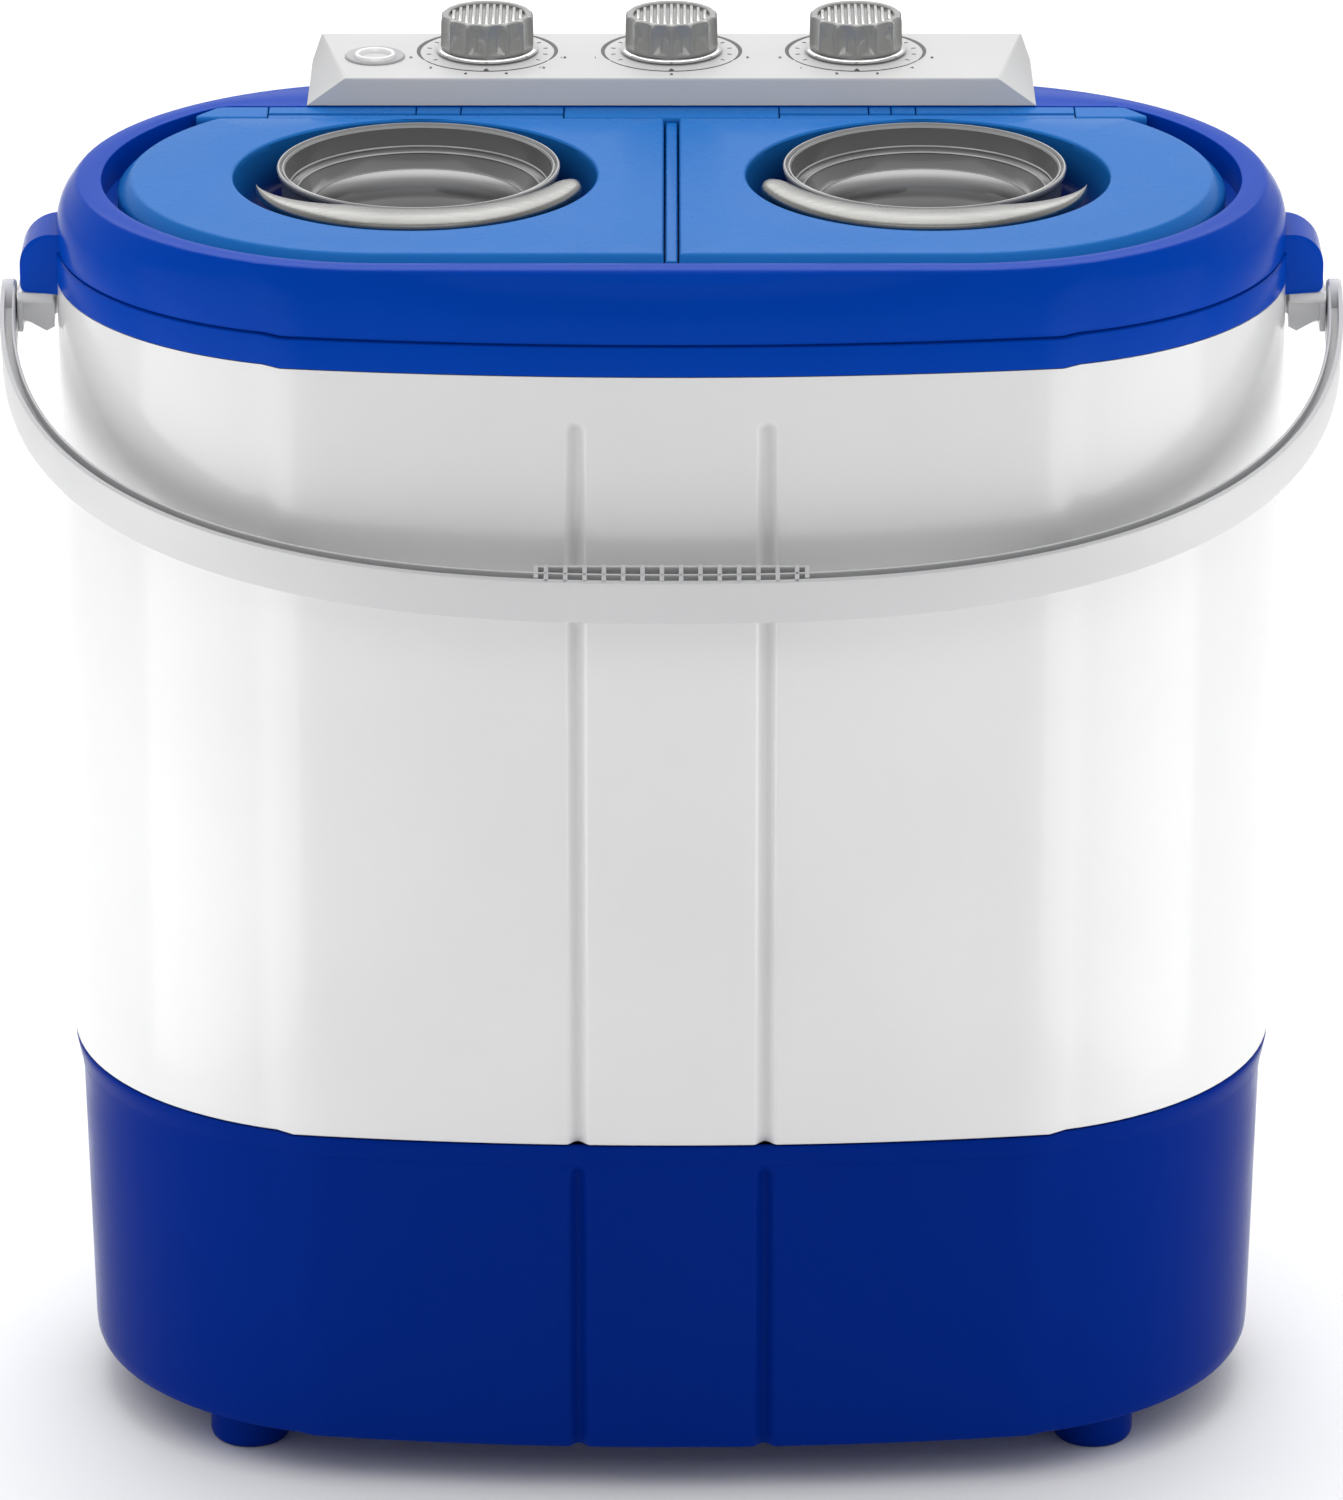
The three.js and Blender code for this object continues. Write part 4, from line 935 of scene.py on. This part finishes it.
def make_bail():
    """Carry bail: channelled band, round bosses at the pivots and a finned grip."""
    w, d = BAIL_HALF_WIDTH, BAIL_DEPTH
    section = [
        (0.6, -w), (0.15, -w + 0.3), (0, -w + 0.9), (0, w - 0.9), (0.15, w - 0.3), (0.6, w),
        (d - 0.6, w), (d, w - 0.6), (d, -w + 0.6), (d - 0.5, -w), (d - 1.3, -w), (d - 1.4, -w + 4.6),
        (2.1, -w + 4.6), (2.0, -w),
    ]
    levels = []
    for point, normal in bail_path():
        levels.append([(*(point + normal * depth), z) for depth, z in section])
    parts = [loft(levels)]
    for side in (-1, 1):
        boss = [
            (0, 0), (11.2, 0), (12.0, 0.8), (12.0, 5.4), (11.4, 6.0), (8.4, 6.0), (8.0, 5.4),
            (5.2, 5.4), (4.8, 6.2), (0, 6.2),
        ]
        parts.append(lying_along_x(turned(boss, count=48), side * (BAIL_HALF_SPAN - 6.2), 0, 0, side))
        stub = turned([(0, 0), (4, 0), (4, 20), (0, 20)], count=24)
        parts.append(lying_along_x(stub, side * 272, 0, 0, side))
    inner, outer = BAIL_REACH - 12.0, BAIL_REACH - 1.2
    parts.append(block((-58, inner, -w + 0.4), (58, inner + 1.3, 0), 0.3))
    parts.append(block((-58, inner, -2.0), (58, outer - 4, 0), 0.3))
    for k in range(FINS):
        x = FIN_PITCH * (k - (FINS - 1) / 2)
        parts.append(block((x - 1.0, inner, -w), (x + 1.0, outer, -1.0), 0.3))
    for side in (-1, 1):
        low, high = sorted((side * 56.6, side * 58.6))
        parts.append(block((low, inner, -w + 0.2), (high, outer - 3, 0), 0.3))
    shape = placed(combined(*parts), BAIL_FRAME)
    piece("bail_band", shape, BAIL_WHITE, ["bail_handle"], "bail_body")
    cells = block((-56, inner + 1.0, -w + 5.0), (56, outer - 0.6, -w + 6.0), 0.1)
    piece("bail_cells", placed(cells, BAIL_FRAME), CELL_GREY, body="bail_body")


def make_brackets():
    """Pivot brackets under the ears: top plate, outer flange and two gussets."""
    for side, name in SIDES:
        parts = [
            block((BRACKET_IN, -13, 516.4), (BRACKET_OUT, 13, 521.4), 0.7),
            block((BRACKET_OUT - 2.6, -12.5, 503.0), (BRACKET_OUT, 12.5, 520.0), 0.7),
        ]
        inner, outer = BRACKET_IN, BRACKET_OUT - 2.0
        web = [(inner, 517.0), (inner, 505.0), (274.0, 503.0), (outer, 509.0), (outer, 517.0)]
        for y in (-9.5, 9.5):
            parts.append(loft([[(x, y + half, z) for x, z in web] for half in (-1.1, 1.1)]))
        sleeve = turned([(4.6, 0), (7.5, 0), (7.0, 14), (4.6, 14)], count=32)
        parts.append(lying_along_x(sleeve, 271, 0, BAIL_PIVOT_Z))
        points, faces = combined(*parts)
        shape = [(side * x, y, z) for x, y, z in points], faces
        piece(f"bracket_{name}", shape, BODY_WHITE, [f"bail_bracket_{name}"])


# ---- Control panel ----


def make_panel():
    """Control panel: flat top with slanted end facets, and the drop behind the collar."""
    low, high = TOP_Z + GAP, PANEL_HIGH.z
    front, back = PANEL_FRONT_Y, PANEL_HIGH.y

    def plan(half_front, half_back, inset):
        return [
            (-half_front + inset, front + inset * 0.6), (half_front - inset, front + inset * 0.6),
            (half_back - inset, back - inset), (-half_back + inset, back - inset),
        ]

    def fine(points):
        out = []
        for i, a in enumerate(points):
            b = points[(i + 1) % 4]
            out += [(a[0] + (b[0] - a[0]) * k / 8, a[1] + (b[1] - a[1]) * k / 8) for k in range(8)]
        return out

    levels = []
    for share, inset, z in (
        (0.0, 0.0, low), (0.90, 0.0, high - 1.3), (0.955, 0.15, high - 0.6),
        (0.985, 0.5, high - 0.15), (1.0, 1.2, high),
    ):
        half_front = 163.0 + (145.8 - 163.0) * share
        half_back = 163.0 + (158.6 - 163.0) * share
        levels.append(at(fine(plan(half_front, half_back, inset)), z))
    drop = block((-150, 141.3, 532.3), (150, back - 0.1, low + 4), 1.2)
    shape = combined(loft(levels), drop)
    piece("panel_cover", shape, PANEL_WHITE, ["control_panel"], sharp=25.0)


def arc_mark(x, start, end, width, z):
    """Printed arc round a knob that swells from a fine start to its full width and back."""
    outer, inner = [], []
    for share in spread(0.0, 1.0, 25):
        angle = radians(start + (end - start) * share)
        half = 0.18 + width * sin(pi * share) ** 0.7 / 2 if 0 < share < 1 else 0.18
        for edge, reach in ((outer, DIAL_RADIUS + half), (inner, DIAL_RADIUS - half)):
            edge.append((x + reach * cos(angle), KNOB_Y + reach * sin(angle)))
    loop = outer + inner[::-1]
    return loft([at(loop, z), at(loop, z + INK_HEIGHT)])


def digit_shapes(text, x, y, size, z):
    """Flat raised figures for a dial."""
    curve = bpy.data.curves.new("figures", "FONT")
    curve.body = text
    curve.size = size
    curve.extrude = INK_HEIGHT / 2
    curve.align_x = "CENTER"
    curve.align_y = "CENTER"
    writer = linked("figures", curve)
    mesh = baked(writer)
    points = [(v.co.x + x, v.co.y + y, v.co.z + z + INK_HEIGHT / 2) for v in mesh.vertices]
    faces = [tuple(p.vertices) for p in mesh.polygons]
    bpy.data.objects.remove(writer)
    return points, faces


def make_dial_print(x, name, figures):
    """Printed scale round a knob: three arcs, ticks, figures and a pointer."""
    z = PANEL_HIGH.z + 0.02
    parts = [
        arc_mark(x, 122, 206, 1.5, z),
        arc_mark(x, -26, 58, 1.5, z),
        arc_mark(x, 208, 332, 0.25, z),
    ]
    for k in range(13):
        tick = block((25.6, -0.2, 0), (27.6, 0.2, INK_HEIGHT), 0.0)
        turn = Matrix.Rotation(radians(-30 + 240 * k / 12), 4, "Z")
        parts.append(placed(tick, Matrix.Translation((x, KNOB_Y, z)) @ turn))
    for k, figure in enumerate(figures):
        angle = radians(196 + 148 * k / (len(figures) - 1))
        figure_x, figure_y = x + FIGURE_RADIUS * cos(angle), KNOB_Y + FIGURE_RADIUS * sin(angle)
        parts.append(digit_shapes(figure, figure_x, figure_y, 3.2, z))
    pointer = [(x - 1.3, KNOB_Y - 29.8), (x + 1.3, KNOB_Y - 29.8), (x, KNOB_Y - 26.8)]
    parts.append(loft([at(pointer, z), at(pointer, z + INK_HEIGHT)]))
    piece(f"{name}_scale", combined(*parts), INK)


def make_knob(x, name):
    """Knob: chromed skirt, faceted body with scalloped sides and a ribbed insert on top."""
    dial = f"{name}_dial"
    low = PANEL_HIGH.z + 0.8
    high = KNOB_TOP_Z
    count = 12 * KNOB_FLUTES

    def scalloped(radius, depth):
        loop = []
        for i in range(count):
            angle = 2 * pi * i / count
            wave = abs(cos(KNOB_FLUTES * angle / 2)) ** 0.6
            reach = radius - depth * wave
            loop.append((x + reach * cos(angle), KNOB_Y + reach * sin(angle)))
        return loop

    skirt = turned([
        (19.0, low), (22.6, low), (22.9, low + 0.3), (22.9, low + 1.1), (22.4, low + 1.6),
        (21.2, low + 1.9), (19.0, low + 1.9),
    ], x, KNOB_Y, 96)
    piece(f"{name}_knob_skirt", skirt, CHROME, [f"{name}_knob"], dial)
    levels = []
    for radius, depth, z in (
        (20.9, 0.2, low + 2.0), (21.3, 0.5, low + 3.2), (21.3, 1.5, low + 4.6),
        (21.1, 1.7, high - 2.6), (20.8, 1.2, high - 1.2), (20.2, 0.5, high - 0.4),
        (19.4, 0.0, high), (17.6, 0.0, high), (17.1, 0.0, high - 0.5), (17.1, 0.0, high - 1.6),
    ):
        levels.append(at(scalloped(radius, depth), z))
    piece(f"{name}_knob_body", loft(levels), KNOB_GREY, body=dial)
    ribs = []
    for k in range(11):
        offset = -15.0 + 3.0 * k
        half = sqrt(16.6**2 - offset**2) - 0.3
        corner = (x + offset - 0.85, KNOB_Y - half, high - 1.7)
        ribs.append(block(corner, (x + offset + 0.85, KNOB_Y + half, high - 0.3), 0.5))
    piece(f"{name}_knob_ribs", combined(*ribs), CHROME, body=dial)


def make_inlet():
    """Water inlet: grey dish and raised white ring over a grey socket."""
    x, y, _ = middle("water_inlet_port")
    z = PANEL_HIGH.z
    dish = turned([
        (9.0, z + 0.1), (13.4, z + 0.1), (13.4, z + 0.7), (12.9, z + 1.2), (12.3, z + 1.1),
        (10.4, z + 0.5), (9.0, z + 0.4),
    ], x, y)
    piece("inlet_dish", dish, CELL_GREY)
    ring = turned([
        (7.1, z - 0.6), (9.3, z - 0.6), (9.3, z + 1.2), (8.8, z + 2.0), (8.2, z + 2.2),
        (7.5, z + 1.9), (7.1, z + 1.2),
    ], x, y)
    piece("inlet_ring", ring, BODY_WHITE)
    socket = turned([(7.0, 564.2), (9.4, 564.2), (9.4, z - 0.9), (7.0, z - 0.9)], x, y)
    piece("inlet_socket", socket, GREY_PLASTIC, ["water_inlet_port"])


# ---- Back and underside ----


def make_feet():
    for row in ("front", "rear"):
        for column in ("left", "right"):
            node = f"foot_{row}_{column}"
            x, y, _ = middle(node)
            top = corners(node)[1].z
            foot = turned([
                (0, 0.8), (9.0, 0.8), (9.8, 0.0), (15.0, 0.0), (16.4, 0.6), (17.4, 1.8), (18.0, 4.0),
                (18.0, 15.5), (17.4, 16.0), (17.4, 17.2), (18.0, 17.7), (18.0, top), (0, top),
            ], x, y, 64)
            piece(f"{node}_pad", foot, BASE_BLUE, [node])


def make_rear_cover():
    """Service cover: shallow tray with vent slots, and two cross-head screws."""
    low, high = corners("rear_cover")
    upright = Matrix.Translation((0, high.y, 0)) @ Matrix.Rotation(pi / 2, 4, "X")
    face = rounded((low.x, low.z), (high.x, high.z), 6.0)
    tray = placed(slab(face, 0.0, high.y - low.y, 2.0), upright)
    cover = piece("rear_cover_tray", tray, BODY_WHITE, ["rear_cover"])
    slots = []
    for x in (-VENT_X, VENT_X):
        for row in range(9):
            z = VENT_Z + VENT_PITCH * row
            vent = rounded((x - VENT_HALF, z - 3), (x + VENT_HALF, z + 3), 2.9)
            slots.append(placed(slab(vent, -1.0, 5.0, 0.0), upright))
    carve(cover, combined(*slots))
    for _, name in SIDES:
        node = f"rear_cover_screw_{name}"
        x, _, z = middle(node)
        front = corners(node)[0].y
        head = turned([(0, 0), (4.0, 0), (4.0, 0.9), (3.4, 1.7), (2.2, 2.1), (0, 2.2)], count=40)
        head = lying_along_y(head, x, front, z)
        screw = piece(f"{node}_head", head, STEEL, [node])
        for across, up in ((0.4, 2.2), (2.2, 0.4)):
            corner = (x - across, front + 1.0, z - up)
            carve(screw, block(corner, (x + across, front + 4, z + up), 0.0))


# ---- Insides ----


def tub_profile(hole):
    """Floor, round bottom corner, wall and a flange under the deck."""
    radius, low, high = TUB_RADIUS, TUB_LOW, DECK_Z - 4.3
    profile = [(hole, low)]
    profile += [(radius - 15 + 15 * sin(a), low + 15 - 15 * cos(a)) for a in spread(0, pi / 2, 7)]
    profile += [(radius, high - 3), (radius + 3, high - 3), (radius + 3, high), (radius - 3, high)]
    profile += [(radius - 16 + 13 * sin(a), low + 16.5 - 13 * cos(a)) for a in spread(pi / 2, 0, 7)]
    profile.append((hole, low + 3.5))
    return profile


def make_tubs():
    for name, node, hole, x in (("wash", "wash_tub", 7, -TUB_X), ("spin", "spin_outer_tub", 16, TUB_X)):
        shape = turned(tub_profile(hole), x, 0, 96)
        piece(f"{name}_tub_wall", shape, TUB_WHITE, [node])


def make_pulsator():
    """Ribbed wash disc with three swept vanes."""
    disc = turned([
        (0, 224.0), (6, 223.6), (9, 222.6), (12, 219.4), (15, 216.2), (22, 214.6), (60, 211),
        (65.5, 209.6), (67.6, 207.8), (68, 206.4), (67.4, 205.5), (6.3, 205.5), (6.3, 217), (0, 217),
    ], count=96)
    vanes = []
    for k in range(3):
        levels = []
        for share in spread(0.0, 1.0, 12):
            reach = 10 + 51 * share
            sweep = 0.30 * share
            height = 221.0 - 7.0 * share**2
            half = 4.2 - 1.2 * share
            ridge = [(-half * 0.8, height - 1.5), (0, height), (half * 0.8, height - 1.5)]
            loop = []
            for across, z in [(-half, 208)] + ridge + [(half, 208)]:
                angle = 2 * pi * k / 3 + sweep
                x = reach * cos(angle) - across * sin(angle)
                loop.append((x, reach * sin(angle) + across * cos(angle), z))
            levels.append(loop)
        vanes.append(loft(levels))
    for k in range(24):
        angle = 2 * pi * (k + 0.5) / 24
        rib = block((44, -0.8, 208.5), (62, 0.8, 212.3), 0.4)
        vanes.append(placed(rib, Matrix.Rotation(angle, 4, "Z")))
    shape = shifted(combined(disc, *vanes), -TUB_X)
    piece("pulsator_disc", shape, TUB_WHITE, ["pulsator"], "pulsator_rotor")


def perforated_wall(radius, low, high, columns, rows, hole):
    """Cylinder wall with rows of octagonal holes, as an open sheet."""
    points, faces = [], []
    step = 2 * pi / columns
    height = (high - low) / rows
    around = [(1, 0), (1, 1), (0, 1), (-1, 1), (-1, 0), (-1, -1), (0, -1), (1, -1)]
    for row in range(rows):
        for column in range(columns):
            centre = (column + 0.5) * step
            z = low + (row + 0.5) * height
            start = len(points)
            for u, v in around:
                angle = centre + u * step / 2
                points.append((radius * cos(angle), radius * sin(angle), z + v * height / 2))
            for k in range(8):
                turn = k * pi / 4
                angle = centre + hole * cos(turn) / radius
                points.append((radius * cos(angle), radius * sin(angle), z + hole * sin(turn)))
            for k in range(8):
                j = (k + 1) % 8
                faces.append((start + k, start + j, start + 8 + j, start + 8 + k))
    return points, faces


def make_basket():
    """Spin basket: drilled wall, floor with a hub cone, and a rolled rim."""
    sheet = shifted(perforated_wall(BASKET_RADIUS, 232.0, 510.0, 48, 16, 2.6), TUB_X)
    wall = piece("basket_wall", sheet, TUB_WHITE, ["spin_basket"], "spin_rotor")
    thick = wall.modifiers.new("thickness", "SOLIDIFY")
    thick.thickness = BASKET_WALL * MM
    thick.offset = -1.0
    wall.data = baked(wall)
    wall.modifiers.clear()
    floor = turned([
        (8.3, 214.5), (22, 214.5), (24, 221), (90, 222), (94.2, 225), (95, 232), (92.5, 232),
        (91.5, 227.5), (88, 225), (28, 225.5), (23, 231), (20, 242), (8.3, 242),
    ], TUB_X, 0, 96)
    rim = turned([
        (95, 510), (95.2, 520), (94.4, 522), (82, 522), (80.4, 521.4), (80, 520.2), (80.6, 519.2),
        (91.4, 518.6), (92.5, 516), (92.5, 510),
    ], TUB_X, 0, 96)
    piece("basket_ends", combined(floor, rim), TUB_WHITE, body="spin_rotor")


def make_inner_lid():
    """Loose lid inside the basket: ribbed disc with a finger knob."""
    disc = turned([
        (0, 500.4), (76, 500.4), (77.6, 501), (78, 502.2), (77.4, 503.6), (75.6, 504.2), (70, 503.4),
        (24, 502.6), (14, 503.4), (11.6, 505), (10.6, 509.5), (12, 512.6), (11, 514.6), (8, 515.2),
        (0, 515.4),
    ], TUB_X, 0, 96)
    ribs = []
    for k in range(8):
        rib = block((26, -1.0, 502), (66, 1.0, 505.4), 0.5)
        ribs.append(shifted(placed(rib, Matrix.Rotation(2 * pi * k / 8, 4, "Z")), TUB_X))
    shape = combined(disc, *ribs)
    piece("inner_lid_disc", shape, GREY_PLASTIC, ["spin_inner_lid"], "inner_lid_body")


def finish_cad_nodes():
    """Materials for the CAD nodes that stay visible."""
    finishes = dict(
        blue_gloss=BASE_BLUE,
        white_gloss=BODY_WHITE,
        white_tub=TUB_WHITE,
        grey_plastic=GREY_PLASTIC,
        smoked_window=SMOKED_RING,
        satin_grip=SATIN_GRIP,
        chromed_knob=CHROME,
        steel=STEEL,
        black_rubber=RUBBER,
        dark_plastic=DARK_PLASTIC,
    )
    slots = {row["node"]: row["material_slot"] for row in frame["record"]["subparts"]}
    for node, thing in frame["nodes"].items():
        thing.data.materials.clear()
        thing.data.materials.append(finishes[slots[node]])
        smooth(thing.data, 30)


make_base()
make_body()
make_collar()
make_deck()
make_ears()
make_hinge()
for side, name in LIDS:
    for make in (make_lid, make_window, make_grip):
        make(side, name, f"{name}_lid_body")
make_bail()
make_brackets()
make_panel()
make_inlet()
for x, name, figures in (
    (-KNOB_X, "wash_timer", ("0", "3", "6", "9", "12", "15")),
    (0.0, "selector", ("1", "2", "3")),
    (KNOB_X, "spin_timer", ("0", "1", "2", "3", "4", "5")),
):
    make_dial_print(x, name, figures)
    make_knob(x, name)
make_feet()
make_rear_cover()
make_tubs()
make_pulsator()
make_basket()
make_inner_lid()
finish_cad_nodes()


def light_only(lamps, name, things):
    """Restricts lights to some objects."""
    lit = bpy.data.collections.new(name)
    for thing in things:
        lit.objects.link(thing)
    for lamp in lamps:
        lamp.light_linking.receiver_collection = lit


floor, panel_things, others = bpy.data.objects["floor"], [], []
for thing in scene.objects:
    if thing.type == "MESH" and thing != floor:
        others.append(thing)
        if thing.name.startswith(("panel_cover", "inlet")) or "_knob_" in thing.name:
            panel_things.append(thing)
light_only(cards, "lit_by_cards", others)
light_only([floor_wash], "lit_floor", [floor])
light_only([panel_wash], "lit_panel", panel_things)
